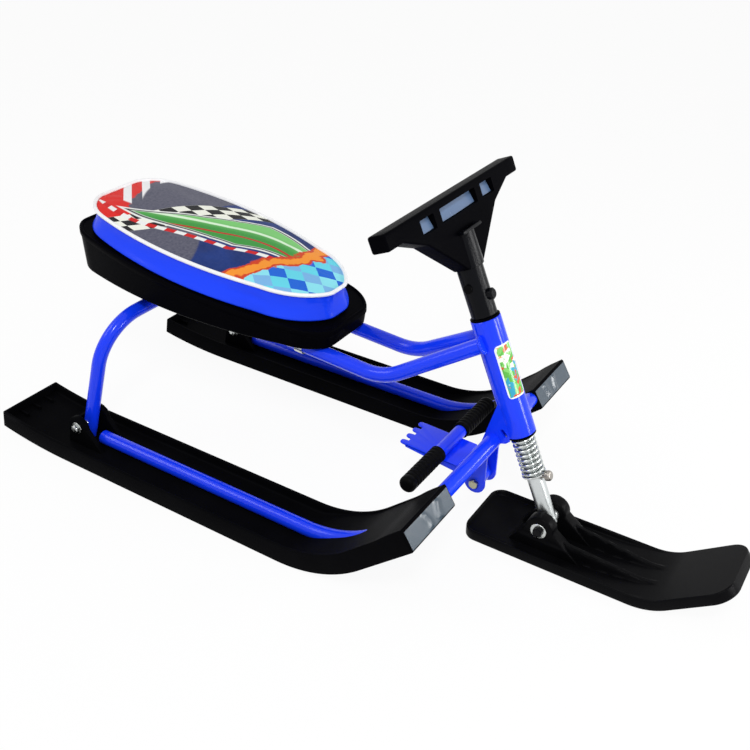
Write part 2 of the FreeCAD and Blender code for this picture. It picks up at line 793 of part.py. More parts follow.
# A saddle clip: a strap under the tube with two ears held to the tray's bosses.
def saddle_clip():
    inner = tube_od / 2 + weld_gap
    outer = inner + clip_sheet
    half = clip_width / 2
    top = clip_seat - weld_gap
    strap = Part.makeCylinder(outer, clip_width, V(-half, 0, 0), along_x)
    strap = strap.fuse(Part.makeBox(clip_width, 2 * outer, top, V(-half, -outer, 0)))
    strap = strap.common(Part.makeBox(clip_width, 2 * outer, outer + top, V(-half, -outer, -outer)))
    for side in (-1, 1):
        middle = side * screw_offset
        ear = Part.makeBox(clip_width, clip_ear, clip_sheet - weld_gap,
                           V(-half, middle - clip_ear / 2, clip_seat - clip_sheet))
        strap = strap.fuse(ear)
    strap = strap.cut(Part.makeCylinder(inner, clip_width, V(-half, 0, 0), along_x))
    strap = strap.cut(Part.makeBox(clip_width, 2 * inner, clip_seat, V(-half, -inner, 0)))
    for side in (-1, 1):
        strap = strap.cut(Part.makeCylinder(clip_screw_diameter / 2 + bolt_fit, clip_seat,
                                            V(0, side * screw_offset, 0)))
    return on_main_tube(strap.removeSplitter())


left_clip = saddle_clip()
save("seat_clips", left_clip, mirrored(left_clip))
screws = []
for side in (-1, 1):
    under = clip_seat - clip_sheet
    shank = Part.makeCylinder(clip_screw_diameter / 2, clip_screw_length, V(0, side * screw_offset, under))
    head = Part.makeCylinder(clip_screw_head / 2, clip_screw_diameter / 2,
                             V(0, side * screw_offset, under - clip_screw_diameter / 2))
    screw = on_main_tube(shank.fuse(head).removeSplitter())
    screws += [screw, mirrored(screw)]
save("seat_screws", *screws)

# Steering: heights are along the head axis. Bushes turn in the head tube and guide the column.
head_bore = head_od - 2 * head_wall
bush_od = head_bore - 2 * running_fit
bush_bore = column_od + 2 * running_fit
bush_low = -seat_gap - bush_flange
bush_high = head_length + seat_gap + bush_flange
lower_bush = ring_on_axis(bush_od, bush_bore, -seat_gap, bush_length)
lower_bush = lower_bush.fuse(ring_on_axis(bush_flange_od, bush_bore, bush_low, -seat_gap))
save("lower_bush", on_head(lower_bush.removeSplitter()))
upper_bush = ring_on_axis(bush_od, bush_bore, head_length - bush_length, head_length + seat_gap)
upper_bush = upper_bush.fuse(ring_on_axis(bush_flange_od, bush_bore, head_length + seat_gap, bush_high))
save("upper_bush", on_head(upper_bush.removeSplitter()))

# Coil spring: its turns are biarcs of a quarter turn, and its ends run straight to their seats.
spring_radius = (spring_od - spring_wire) / 2
spring_top = bush_low
spring_foot = spring_top - spring_length
spring_turn = 2 * math.pi * spring_radius


# The middle of the arc from one point to another whose tangents meet at a third.
def arc_middle_of(start, meet, end):
    chord = (start + end) * 0.5
    half = start.distanceToPoint(end) / 2
    lean = (meet - start).getAngle(end - start)
    return chord + (meet - chord).normalize() * half * math.tan(lean / 2)


def arc_between(start, meet, end):
    return Part.Arc(start, arc_middle_of(start, meet, end), end).toShape()


# Two tangent arcs that leave one point along a heading and reach the next along another.
def biarc(start, heading, end, arrival):
    span = end - start
    both = heading + arrival
    spare = 2 * (1 - heading.dot(arrival))
    ahead = span.dot(both)
    reach = (math.sqrt(ahead ** 2 + spare * span.dot(span)) - ahead) / spare
    first_meet = start + heading * reach
    last_meet = end - arrival * reach
    joint = (first_meet + last_meet) * 0.5
    return [arc_between(start, first_meet, joint), arc_between(joint, last_meet, end)]


# The pitch that is left for the turns once both ends have their bend and straight run.
spring_pitch = spring_length / spring_coils
for settle in range(2 * spring_coils):
    climb = math.atan2(spring_pitch, spring_turn)
    end_run = spring_end_bend * math.tan((math.pi / 2 - climb) / 2)
    end_height = spring_wire + end_run * (1 + math.sin(climb))
    spring_pitch = (spring_length - 2 * end_height) / spring_coils


def spring_point(turn):
    angle = 360 * turn
    height = spring_foot + end_height + spring_pitch * turn
    return V(spring_radius * cos(angle), spring_radius * sin(angle), height)


def spring_heading(turn):
    angle = 360 * turn
    return V(-sin(angle) * math.cos(climb), cos(angle) * math.cos(climb), math.sin(climb))


def spring_path():
    first = spring_point(0)
    last = spring_point(spring_coils)
    first_corner = first - spring_heading(0) * end_run
    last_corner = last + spring_heading(spring_coils) * end_run
    low = first_corner - along_z * end_run
    high = last_corner + along_z * end_run
    edges = [Part.makeLine(low - along_z * spring_wire, low), arc_between(low, first_corner, first)]
    for quarter in range(4 * spring_coils):
        start = quarter / 4
        end = start + 0.25
        edges += biarc(spring_point(start), spring_heading(start), spring_point(end), spring_heading(end))
    edges += [arc_between(last, last_corner, high), Part.makeLine(high, high + along_z * spring_wire)]
    return Part.Wire(edges)


# The least clear space between turns, measured from points on the wire's middle line.
def spring_gap():
    steps = 24
    points = [spring_point(step / steps) for step in range(steps * spring_coils + 1)]
    least = spring_length
    for number, point in enumerate(points):
        for other in points[number + steps // 2:]:
            least = min(least, point.distanceToPoint(other))
    return least - spring_wire


save("front_spring", on_head(rod(spring_path(), spring_wire)))
print("least gap between spring turns: %.2f mm" % spring_gap())

# Column, the ring that the spring stands on and the bolt that stops the ring.
ring_top = spring_foot - seat_gap
ring_foot = ring_top - seat_ring
wheel_foot = bush_high + seat_gap
column_top = wheel_foot + wheel_neck_height + wheel_bar
stop_height = ring_foot - stop_bolt_diameter / 2 - weld_gap
screw_height = wheel_foot + wheel_screw_height
column_radius = column_od / 2


def column():
    bar = Part.makeCylinder(column_radius, column_top + pivot_drop, V(0, 0, -pivot_drop))
    knuckle = V(0, column_radius, -pivot_drop)
    bar = bar.fuse(cylinder(column_radius, V(0, -column_radius, -pivot_drop), knuckle)).removeSplitter()
    hollow_foot = column_foot - pivot_drop
    bore_length = column_top - hollow_foot
    bar = bar.cut(Part.makeCylinder(column_radius - column_wall, bore_length, V(0, 0, hollow_foot)))
    bar = bar.cut(cylinder(bolt_diameter / 2 + running_fit, V(0, -column_od, -pivot_drop),
                           V(0, column_od, -pivot_drop)))
    bar = bar.cut(cylinder(stop_bolt_diameter / 2 + bolt_fit, V(-column_od, 0, stop_height),
                           V(column_od, 0, stop_height)))
    return bar.cut(cylinder(wheel_screw_diameter / 2 + bolt_fit, V(0, -column_od, screw_height),
                            V(0, column_od, screw_height)))


save("column", on_head(column()))
save("spring_seat", on_head(ring_on_axis(seat_ring_od, column_od + 2 * weld_gap, ring_foot, ring_top)))
stop_under_head = column_radius + stop_head_reach
stop_bolt = cylinder(stop_bolt_diameter / 2, V(-stop_under_head, 0, stop_height),
                     V(stop_under_head, 0, stop_height))
stop_head = cylinder(stop_head_diameter / 2, V(stop_under_head, 0, stop_height),
                     V(stop_under_head + stop_head_height, 0, stop_height))
stop_head_middle = stop_under_head + stop_head_height / 2
head_front = [edge for edge in stop_head.Edges if edge.CenterOfMass.x > stop_head_middle]
stop_head = stop_head.makeFillet(stop_head_height / 2, head_front[-1:])
save("stop_bolt", on_head(stop_bolt.fuse(stop_head).removeSplitter()))


# The yoke: a grip bar over a web that narrows to a sleeve, with three pockets in its front.
def steering_wheel():
    bar_foot = wheel_height - wheel_bar
    half = [
        (wheel_neck_half, wheel_neck_height),
        (wheel_knee_half, wheel_knee_height),
        (wheel_half_span - wheel_tip_run, bar_foot),
        (wheel_half_span, bar_foot),
        (wheel_half_span, wheel_height - wheel_edge),
        (wheel_half_span - wheel_edge, wheel_height),
    ]
    right = [(-across, height) for across, height in reversed(half)]
    front = wheel_depth / 2
    yoke = polygon([V(-front, y, wheel_foot + height) for y, height in half + right])
    yoke = yoke.extrude(along_x * wheel_depth)
    pockets = [(-middle_pocket_half, middle_pocket_half), (side_pocket_start, side_pocket_end),
               (-side_pocket_end, -side_pocket_start)]
    for start, end in pockets:
        corner = V(front - pocket_depth, start, wheel_foot + pocket_foot)
        yoke = yoke.cut(Part.makeBox(wheel_depth, end - start, pocket_height, corner))
    rims = [edge for edge in yoke.Edges if abs(abs(edge.CenterOfMass.x) - front) < weld_gap]
    yoke = yoke.makeChamfer(wheel_edge, rims)
    sleeve_height = wheel_neck_height + wheel_bar
    sleeve = Part.makeCylinder(wheel_sleeve_od / 2, sleeve_height, V(0, 0, wheel_foot))
    collar = Part.makeCylinder(wheel_neck_half, wheel_bar, V(0, 0, wheel_foot + wheel_neck_height))
    boss_height = wheel_foot + wheel_screw_height - wheel_boss_diameter
    boss = cylinder(wheel_boss_diameter / 2, V(0, 0, boss_height),
                    V(wheel_sleeve_od / 2 + wheel_boss_height, 0, boss_height))
    wheel = yoke.fuse([sleeve, collar, boss]).removeSplitter()
    wheel = wheel.cut(Part.makeCylinder(column_radius + weld_gap, sleeve_height, V(0, 0, wheel_foot)))
    return wheel.cut(cylinder(wheel_screw_diameter / 2 + bolt_fit, V(0, -wheel_sleeve_od, screw_height),
                              V(0, wheel_sleeve_od, screw_height)))


save("steering_wheel", on_head(steering_wheel()))
sleeve_side = wheel_sleeve_od / 2
screw_head = wheel_screw_diameter
wheel_screw = cylinder(wheel_screw_diameter / 2, V(0, -sleeve_side, screw_height),
                       V(0, sleeve_side, screw_height))
wheel_screw = wheel_screw.fuse(cylinder(screw_head, V(0, -sleeve_side - screw_head / 2, screw_height),
                                        V(0, -sleeve_side, screw_height)))
save("wheel_screw", on_head(wheel_screw.removeSplitter()))

# Front ski: a moulded shoe with a rim, two cheeks about the column's foot and two long ribs.
front_tail_x = pivot.x - front_ski_tail
front_bend_x = pivot.x + front_ski_flat
cheek_inner = column_radius + side_play
front_cheek_outer = cheek_inner + cheek_thickness


# The space between two levels over the running face, over a width about the middle.
def front_band(low, high, tail_inset, width):
    def on_nose(level, angle):
        radius = front_ski_nose_radius - level
        return V(front_bend_x + radius * sin(angle), 0, front_ski_nose_radius - radius * cos(angle))

    nose = front_ski_nose_angle
    run = V(cos(nose), 0, sin(nose)) * front_ski_nose_run
    edges = []
    ends = []
    for level in (low, high):
        tail = V(front_tail_x + tail_inset, 0, level)
        tip = on_nose(level, nose) + run
        edges.append(Part.makeLine(tail, on_nose(level, 0)))
        edges.append(Part.Arc(on_nose(level, 0), on_nose(level, nose / 2), on_nose(level, nose)).toShape())
        edges.append(Part.makeLine(on_nose(level, nose), tip))
        ends += [tail, tip]
    edges.append(Part.makeLine(ends[0], ends[2]))
    edges.append(Part.makeLine(ends[1], ends[3]))
    band = Part.Face(Part.Wire(Part.sortEdges(edges)[0])).extrude(along_y * width)
    band.translate(along_y * -width / 2)
    return band


# The ski's plan: a block with upright corners rounded at the tail and at the tip.
def front_plan(inset):
    length = sled_length - front_tail_x
    width = front_ski_width - 2 * inset
    corner = V(front_tail_x + inset, -width / 2, -front_ski_rim)
    block = Part.makeBox(length - inset, width, sled_length, corner)
    upright = [edge for edge in block.Edges if edge.BoundBox.ZLength > front_ski_rim]
    upright = [edge for edge in upright if edge.BoundBox.XLength + edge.BoundBox.YLength < front_ski_rim]
    tail = [edge for edge in upright if edge.CenterOfMass.x < pivot.x]
    block = block.makeFillet(front_ski_tail_corner - inset, tail)
    tip = [edge for edge in block.Edges if edge.BoundBox.ZLength > front_ski_rim
           and edge.BoundBox.XLength + edge.BoundBox.YLength < front_ski_rim
           and edge.CenterOfMass.x > front_bend_x]
    return block.makeFillet(front_ski_tip_corner - inset, tip)


def front_ski():
    ski = front_band(0, front_ski_rim, 0, front_ski_width).common(front_plan(0))
    pocket = front_band(front_ski_base, 2 * front_ski_rim, 0, front_ski_width)
    pocket = pocket.common(front_plan(front_ski_rim_wall))
    keep = Part.makeBox(sled_length, front_ski_width, front_ski_nose_radius,
                        V(front_bend_x, -front_ski_width / 2, 0))
    ski = ski.cut(pocket.cut(keep))
    foot = front_ski_base - weld_gap
    cheek = [(pivot.x - cheek_foot_back, foot), (pivot.x - cheek_radius, pivot.z),
             (pivot.x + cheek_radius, pivot.z), (pivot.x + cheek_foot_front, foot)]
    rib_x = pivot.x + cheek_radius
    rib_end_x = pivot.x + rib_length
    rib_end_rise = front_ski_nose_radius - math.sqrt(
        front_ski_nose_radius ** 2 - (rib_end_x - front_bend_x) ** 2)
    rib_side = [(rib_x, front_ski_base / 2), (rib_x, front_ski_base + rib_height),
                (rib_end_x, front_ski_rim + rib_end_rise + rib_end_height),
                (rib_end_x, front_ski_base + rib_end_rise)]
    rib_from = (cheek_inner + front_cheek_outer) / 2 - rib_width / 2
    rib_to = rib_end_half - rib_width / 2
    rib_plan = [V(rib_x, rib_from, 0), V(rib_x, rib_from + rib_width, 0),
                V(rib_end_x, rib_to + rib_width, 0), V(rib_end_x, rib_to, 0)]
    rib = polygon(rib_plan).extrude(along_z * pivot.z)
    rib = rib.common(slab(rib_side, 0, front_ski_width))
    for side in (-1, 1):
        ski = ski.fuse(slab(cheek, side * cheek_inner, side * front_cheek_outer))
        ski = ski.fuse(cylinder(cheek_radius, pivot + along_y * side * cheek_inner,
                                pivot + along_y * side * front_cheek_outer))
        ski = ski.fuse(rib if side > 0 else mirrored(rib))
    return ski.removeSplitter().cut(cylinder(bolt_diameter / 2 + bolt_fit,
                                             pivot - along_y * front_ski_width / 2,
                                             pivot + along_y * front_ski_width / 2))


save("front_ski", front_ski())
pivot_face = front_cheek_outer + washer
pivot_nut_face = pivot_face + nut_height
save("ski_pivot_bolt", cross_bolt(pivot.x, pivot.z, -pivot_face, pivot_nut_face + washer))
save("ski_pivot_nut", cross_nut(pivot.x, pivot.z, pivot_face, pivot_nut_face))
pivot_washers = []
for side in (-1, 1):
    pivot_washers.append(cross_ring(pivot.x, pivot.z, pivot_washer_od, bolt_diameter + 2 * bolt_fit,
                                    side * front_cheek_outer, side * pivot_face))
save("ski_pivot_washers", *pivot_washers)
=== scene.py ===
import math

import bmesh
import bpy
import numpy as np
from mathutils import Matrix, Vector


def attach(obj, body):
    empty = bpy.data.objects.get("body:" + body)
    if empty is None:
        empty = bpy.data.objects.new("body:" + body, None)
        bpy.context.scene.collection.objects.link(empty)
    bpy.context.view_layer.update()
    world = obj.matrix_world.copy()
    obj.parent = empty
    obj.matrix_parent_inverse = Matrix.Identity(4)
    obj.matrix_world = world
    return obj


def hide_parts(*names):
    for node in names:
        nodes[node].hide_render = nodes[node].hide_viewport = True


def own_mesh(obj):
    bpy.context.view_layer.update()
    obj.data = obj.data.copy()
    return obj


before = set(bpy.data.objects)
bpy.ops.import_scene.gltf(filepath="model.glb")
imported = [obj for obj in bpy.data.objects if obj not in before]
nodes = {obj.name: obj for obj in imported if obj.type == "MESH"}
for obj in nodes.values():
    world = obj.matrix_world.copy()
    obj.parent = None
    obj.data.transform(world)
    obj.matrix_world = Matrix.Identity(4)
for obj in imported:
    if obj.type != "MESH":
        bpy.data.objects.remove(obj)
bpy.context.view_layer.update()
print("frame loaded with", len(nodes), "nodes")

# camera and lamps, in metres in the row's frame

cameraSetup = {
    "place": (0.6437, -1.0356, 0.9298),
    "ahead": (-0.4496, 0.7236, -0.5237),
    "across": (0.8494, 0.5277, 0.0),      # level, before the roll
    "roll": -0.0213,                      # radians
    "focal": 959.41, "pixels": 750,       # focal length in pixels of a frame so wide
    "sensor": 36.0, "nearest": 0.01,      # millimetres, metres
}
studio = {
    "floorColor": (0.93, 0.93, 0.93, 1.0), "floorRough": 0.9, "floorGloss": 0.1,
    "floorSize": 16.0,
    "floorGlow": 0.93,                    # share of plain white in what the camera sees of the floor
    "skyLevel": 0.47,                     # light that the white surroundings give
    "lamps": [                            # place, aim, size, watts
        ((0.9, -1.5, 2.3), (0.0, 0.0, 0.2), 0.55, 31.0),
        ((-1.7, -1.2, 1.9), (-0.1, 0.0, 0.2), 1.2, 13.0),
        ((1.55, 0.85, 0.66), (0.2, -0.1, 0.15), 0.55, 10.0),
        ((2.0, 0.15, 0.4), (0.2, 0.0, 0.25), 0.45, 9.0),
    ],
}


def linked(name, data):
    # A new object in the scene that shows the data.
    thing = bpy.data.objects.new(name, data)
    bpy.context.scene.collection.objects.link(thing)
    return thing


def makeCamera(setup):
    # Axes: ahead, then across made square to it, then down = ahead x across; the last two turned by the roll.
    ahead = np.array(setup["ahead"]) / np.linalg.norm(setup["ahead"])
    level = np.array(setup["across"])
    level = level - ahead * level.dot(ahead)
    level = level / np.linalg.norm(level)
    down = np.cross(ahead, level)
    cosine, sine = math.cos(setup["roll"]), math.sin(setup["roll"])
    across, down = np.array([[cosine, sine], [-sine, cosine]]) @ np.stack([level, down])
    data = bpy.data.cameras.new("photoCamera")
    data.sensor_width = setup["sensor"]
    data.sensor_fit = "HORIZONTAL"
    data.lens = setup["focal"] * data.sensor_width / setup["pixels"]
    data.clip_start = setup["nearest"]
    camera = linked("photoCamera", data)
    pose = np.eye(4)
    pose[:3] = np.stack([across, -down, -ahead, setup["place"]], axis=-1)
    camera.matrix_world = Matrix(pose.tolist())
    bpy.context.scene.camera = camera


def makeLamps(setup):
    # Each disc lamp's Z axis points back from its aim.
    for number, (place, aim, size, watts) in enumerate(setup["lamps"]):
        name = "softLamp%d" % number
        data = bpy.data.lights.new(name, "AREA")
        data.shape = "DISK"
        data.size = size
        data.energy = watts
        turn = (Vector(place) - Vector(aim)).to_track_quat("Z", "Y").to_matrix().to_4x4()
        linked(name, data).matrix_world = Matrix.Translation(place) @ turn


bpy.context.scene.view_settings.view_transform = "Standard"
makeCamera(cameraSetup)
makeLamps(studio)

# shapes: each function gives (points, faces), with points as a numpy array in millimetres

layoutMiddle = np.array([568.2985, 0.0, 0.0])      # the layout counts X from the rear tail, in millimetres
millimetre = 0.001                                 # in metres
meeting = 1e-6                                     # metres; points closer than this are joined


def gridShell(grid, loopAlong=False):
    # Quads between neighbours of a grid of closed rings; both end rings are closed with one face each.
    along, across = grid.shape[:2]
    row = np.arange(along if loopAlong else along - 1)[:, None]
    column = np.arange(across)[None, :]
    nextRow, nextColumn = (row + 1) % along, (column + 1) % across
    corners = [row * across + column, row * across + nextColumn,
               nextRow * across + nextColumn, nextRow * across + column]
    faces = np.stack(corners, axis=-1).reshape(-1, 4).tolist()
    if not loopAlong:
        last = (along - 1) * across
        faces += [list(range(across))[::-1], list(range(last, last + across))]
    return grid.reshape(-1, 3), faces


def joinShells(*shells):
    # One list of points and faces; each shell's face numbers start after the points before it.
    starts = np.cumsum([0] + [len(points) for points, made in shells])
    faces = [[corner + start for corner in face]
             for start, (points, made) in zip(starts, shells) for face in made]
    return np.concatenate([points for points, made in shells]), faces


def onSide(shell, side):
    # The shell itself on the left, side 1; on the right, side -1, Y changes sign.
    points, faces = shell
    return points * np.array([1.0, side, 1.0]), faces


def putPiece(name, shell, finish, body, replaced=(), sharp=38):
    # Moves the layout's millimetres to the row's metres and makes the object, faces outward.
    points, faces = shell
    mesh = bpy.data.meshes.new(name)
    mesh.from_pydata(((points - layoutMiddle) * millimetre).tolist(), [], faces)
    work = bmesh.new()
    work.from_mesh(mesh)
    bmesh.ops.remove_doubles(work, verts=work.verts, dist=meeting)
    bmesh.ops.recalc_face_normals(work, faces=work.faces)
    work.to_mesh(mesh)
    work.free()
    mesh.shade_smooth()
    mesh.set_sharp_from_angle(angle=math.radians(sharp))
    mesh.materials.append(finish)
    piece = linked(name, mesh)
    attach(piece, body)
    if replaced:
        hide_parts(*replaced)
    return piece


def paintNode(name, finish):
    # A CAD node that stays visible gets a finish; its mesh is left alone.
    nodes[name].data.materials.clear()
    nodes[name].data.materials.append(finish)


def pointPlaces(mesh):
    places = np.empty(len(mesh.vertices) * 3)
    mesh.vertices.foreach_get("co", places)
    return places.reshape(-1, 3)


def markPoints(piece, name, values):
    mark = piece.data.attributes.new(name, "FLOAT", "POINT")
    mark.data.foreach_set("value", values.astype(np.float32))


def unit(vectors):
    return vectors / np.linalg.norm(vectors, axis=-1, keepdims=True)


def smooth(share):
    # 3 s^2 - 2 s^3, with the share held between nought and one.
    share = np.clip(share, 0, 1)
    return share * share * (3 - 2 * share)


def quarter(count):
    return np.linspace(0, math.pi / 2, count)


def tangent(degrees):
    return math.tan(math.radians(degrees))


def lengthAlong(line):
    # The running sum of the distances between neighbours, from nought.
    return np.concatenate([[0], np.cumsum(np.linalg.norm(np.diff(line, axis=0), axis=-1))])


def cornerArc(before, corner, after, radius, steps):
    # A tangent arc in place of a corner: start + radius x (sine along + one less cosine inward); and headings.
    into, out = unit(corner - before), unit(after - corner)
    turn = math.acos(np.clip(into.dot(out), -1, 1))
    inward = unit(out - into.dot(out) * into)
    start = corner - into * radius * math.tan(turn / 2)
    angle = np.linspace(0, turn, steps)[:, None]
    return (start + radius * (np.sin(angle) * into + (1 - np.cos(angle)) * inward),
            np.cos(angle) * into + np.sin(angle) * inward)


def bentPath(points, radii, steps):
    # Straight runs joined by tangent arcs: gives points on the line and its headings.
    points = [np.array(point, float) for point in points]
    arcs = [cornerArc(*three, radius, steps) for *three, radius in zip(points, points[1:], points[2:], radii)]
    first, last = unit(points[1] - points[0]), unit(points[-1] - points[-2])
    return (np.concatenate([points[:1]] + [line for line, heading in arcs] + [points[-1:]]),
            np.concatenate([[first]] + [heading for line, heading in arcs] + [[last]]))


def carried(line, heading, profile, up):
    # A profile's first value goes along side = heading x up, its second along side x heading.
    side = unit(np.cross(heading, np.broadcast_to(up, heading.shape)))
    top = np.cross(side, heading)
    profile = np.broadcast_to(profile, (len(line),) + profile.shape[-2:])
    return line[:, None] + profile[..., :1] * side[:, None] + profile[..., 1:] * top[:, None]


def ringProfile(radius, sides=32):
    # Points on a circle: radius x (cosine, sine) at even angles.
    angle = np.linspace(0, 2 * math.pi, sides, endpoint=False)
    return radius * np.stack([np.cos(angle), np.sin(angle)], axis=-1)


def tubeShell(points, radii, radius, up, steps=14):
    # A ring carried along a bent path.
    line, heading = bentPath(points, radii, steps)
    return gridShell(carried(line, heading, ringProfile(radius), np.array(up, float)))


def turned(profile, foot, axis, sides=48):
    # Radius and height pairs spun about an axis.
    profile = np.array(profile, float)
    axis = unit(np.array(axis, float))
    spare = np.array([0.0, 1.0, 0.0]) if abs(axis[1]) < 0.9 else np.array([1.0, 0.0, 0.0])
    first = unit(np.cross(spare, axis))
    ring = ringProfile(1.0, sides) @ np.stack([first, np.cross(axis, first)])
    return gridShell(np.array(foot, float) + profile[:, :1, None] * ring[None] + profile[:, 1:, None] * axis)


def rodProfile(inner, outer, low, high, lowEdge=0.0, highEdge=0.0):
    # Half the section of a rod or ring from low to high, with a chamfer at each end that has one.
    foot = [(outer - lowEdge, low), (outer, low + lowEdge)] if lowEdge else [(outer, low)]
    top = [(outer, high - highEdge), (outer - highEdge, high)] if highEdge else [(outer, high)]
    return [(inner, low)] + foot + top + [(inner, high)]


def roundedOutline(points, radii, steps=6):
    # A closed outline with a tangent arc at each corner.
    points = np.array(points, float)
    radii = np.broadcast_to(radii, len(points))
    around = zip(np.roll(points, 1, axis=0), points, np.roll(points, -1, axis=0), radii)
    return np.concatenate([cornerArc(*corner, steps)[0] for corner in around])


def drawnIn(outline, inset):
    # Each corner moves along the mean of its two edge normals, so that the edges move by the inset.
    ahead = unit(np.roll(outline, -1, axis=0) - outline)
    area = np.sum(outline[:, 0] * np.roll(outline[:, 1], -1) - np.roll(outline[:, 0], -1) * outline[:, 1])
    normal = np.stack([-ahead[:, 1], ahead[:, 0]], axis=-1) * math.copysign(1, area)
    before = np.roll(normal, 1, axis=0)
    spread = 1 + np.sum(normal * before, axis=-1, keepdims=True)
    return outline + inset * (normal + before) / np.maximum(spread, 0.3)      # sharp corners move less


def plateShell(outline, low, high, edge, place):
    # An outline pushed out from low to high, with quarter-round edges; place maps (a, b, depth).
    inset, rise = edge * (1 - np.sin(quarter(4))), edge * (1 - np.cos(quarter(4)))
    depth = np.concatenate([low + rise, (high - rise)[::-1]])
    rings = np.stack([drawnIn(outline, size) for size in np.concatenate([inset, inset[::-1]])])
    deep = np.broadcast_to(depth[:, None, None], rings.shape[:2] + (1,))
    return gridShell(place(np.concatenate([rings, deep], axis=-1)))


def sideways(points):
    # (x, z, y) to (x, y, z): an outline seen from the side, with its depth across the sled.
    return points[..., [0, 2, 1]]


def bothSides(outline, inner, outer, edge):
    # The same plate on the left and on the right of the middle.
    return [plateShell(outline, low, high, edge, sideways) for low, high in ((inner, outer), (-outer, -inner))]

# finishes: sums on sockets are written as Python sums


class Wire:
    def __init__(self, tree, socket):
        self.tree = tree
        self.socket = socket

    def reckon(self, operation, *terms):
        node = self.tree.nodes.new("ShaderNodeMath")
        node.operation = operation
        for place, term in zip(node.inputs, terms):
            feed(self.tree, place, term)
        return Wire(self.tree, node.outputs[0])

    def __add__(self, other): return self.reckon("ADD", self, other)
    def __radd__(self, other): return self.reckon("ADD", other, self)
    def __sub__(self, other): return self.reckon("SUBTRACT", self, other)
    def __rsub__(self, other): return self.reckon("SUBTRACT", other, self)
    def __mul__(self, other): return self.reckon("MULTIPLY", self, other)
    def __rmul__(self, other): return self.reckon("MULTIPLY", other, self)
    def __truediv__(self, other): return self.reckon("DIVIDE", self, other)
    def __mod__(self, other): return self.reckon("FLOORED_MODULO", self, other)
    def __abs__(self): return self.reckon("ABSOLUTE", self)


def feed(tree, place, value):
    if isinstance(value, Wire):
        tree.links.new(value.socket, place)
    else:
        place.default_value = value


class Finish:
    def __init__(self, name, **constants):
        self.material = bpy.data.materials.new(name)
        self.material.use_nodes = True
        self.tree = self.material.node_tree
        self.shader = self.tree.nodes["Principled BSDF"]
        self.shape(constants)

    def node(self, kind, settings, values, output=0):
        node = self.tree.nodes.new(kind)
        for key, value in settings.items():
            setattr(node, key, value)
        for key, value in values.items():
            feed(self.tree, node.inputs[key], value)
        return Wire(self.tree, node.outputs[output])

    def shape(self, values):
        for key, value in values.items():
            feed(self.tree, self.shader.inputs[key], value)

    def place(self, stretch=(1, 1, 1)):
        spot = self.node("ShaderNodeTexCoord", {}, {}, "Object")
        return self.node("ShaderNodeMapping", {}, {"Vector": spot, "Scale": stretch})

    def noise(self, scale, detail, stretch=(1, 1, 1), rough=0.5):
        return self.node("ShaderNodeTexNoise", {}, {"Vector": self.place(stretch), "Scale": scale,
                                                    "Detail": detail, "Roughness": rough}, "Fac")

    def cells(self, scale, feature="F1", output="Distance", stretch=(1, 1, 1)):
        return self.node("ShaderNodeTexVoronoi", {"feature": feature},
                         {"Vector": self.place(stretch), "Scale": scale}, output)

    def redOf(self, color):
        return self.node("ShaderNodeSeparateColor", {}, {0: color})

    def mark(self, name):
        return self.node("ShaderNodeAttribute", {"attribute_name": name}, {}, "Fac")

    def blend(self, share, first, second):
        return self.node("ShaderNodeMix", {"data_type": "RGBA"}, {0: share, 6: first, 7: second}, 2)

    def step(self, value, low, high):
        return self.node("ShaderNodeMapRange", {"interpolation_type": "SMOOTHSTEP"},
                         {"Value": value, "From Min": low, "From Max": high})

    def band(self, value, low, high, soft=0.012):
        return self.step(value, low - soft, low + soft) * (1 - self.step(value, high - soft, high + soft))

    def chips(self, value, stops):
        # A ramp of plain colours with hard changes between them.
        node = self.tree.nodes.new("ShaderNodeValToRGB")
        node.color_ramp.interpolation = "CONSTANT"
        ramp = node.color_ramp.elements
        for number, (place, color) in enumerate(stops):
            stop = ramp[number] if number < 2 else ramp.new(place)      # a new ramp has two stops
            stop.position, stop.color = place, color
        feed(self.tree, node.inputs[0], value)
        return Wire(self.tree, node.outputs[0])

    def bump(self, height, strength, distance=0.001):
        relief = {"Height": height, "Strength": strength, "Distance": distance}
        self.shape({"Normal": self.node("ShaderNodeBump", {}, relief)})


def opaque(*levels):
    return (*levels, 1)


def makePaint(name, color, deep, mark):
    # Enamel: orange peel in the bump, a slow change of depth, a few dull handling marks.
    paint = Finish(name, **{"Coat Weight": 0.2, "Coat Roughness": 0.04, "IOR": 1.5,
                            "Specular IOR Level": 0.18})
    drift = paint.noise(9.0, 2.0)
    marks = paint.step(paint.noise(46.0, 5.0, (0.35, 1, 1)), 0.60, 0.76)
    paint.shape({"Base Color": paint.blend(marks * 0.06, paint.blend(drift, deep, color), mark),
                 "Roughness": 0.17 + drift * 0.07 + marks * 0.10})
    paint.bump(paint.noise(420.0, 2.0) * 0.6 + paint.noise(130.0, 1.0), 0.06)
    return paint.material


def makePlastic(name, dark, light, rough, gloss, grain=1500.0, scuff=1.0):
    # Moulded plastic: a spark-eroded grain, faint flow clouds, and pale scuffs drawn out along X.
    plastic = Finish(name, **{"IOR": 1.49, "Specular IOR Level": gloss})
    cloud = plastic.noise(14.0, 3.0)
    lines = plastic.step(plastic.noise(34.0, 6.0, (0.05, 1, 1), 0.65), 0.58, 0.74)
    patch = plastic.step(plastic.noise(11.0, 2.0), 0.45, 0.65)
    wear = lines * patch * scuff
    plastic.shape({"Base Color": plastic.blend(wear * 0.6 + cloud * 0.25, dark, light),
                   "Roughness": rough + cloud * 0.10 + wear * 0.18})
    relief = plastic.cells(grain) * 0.7 + plastic.noise(grain * 0.45, 3.0) - lines * scuff * 0.3
    plastic.bump(relief, 0.16, 0.0006)
    return plastic.material


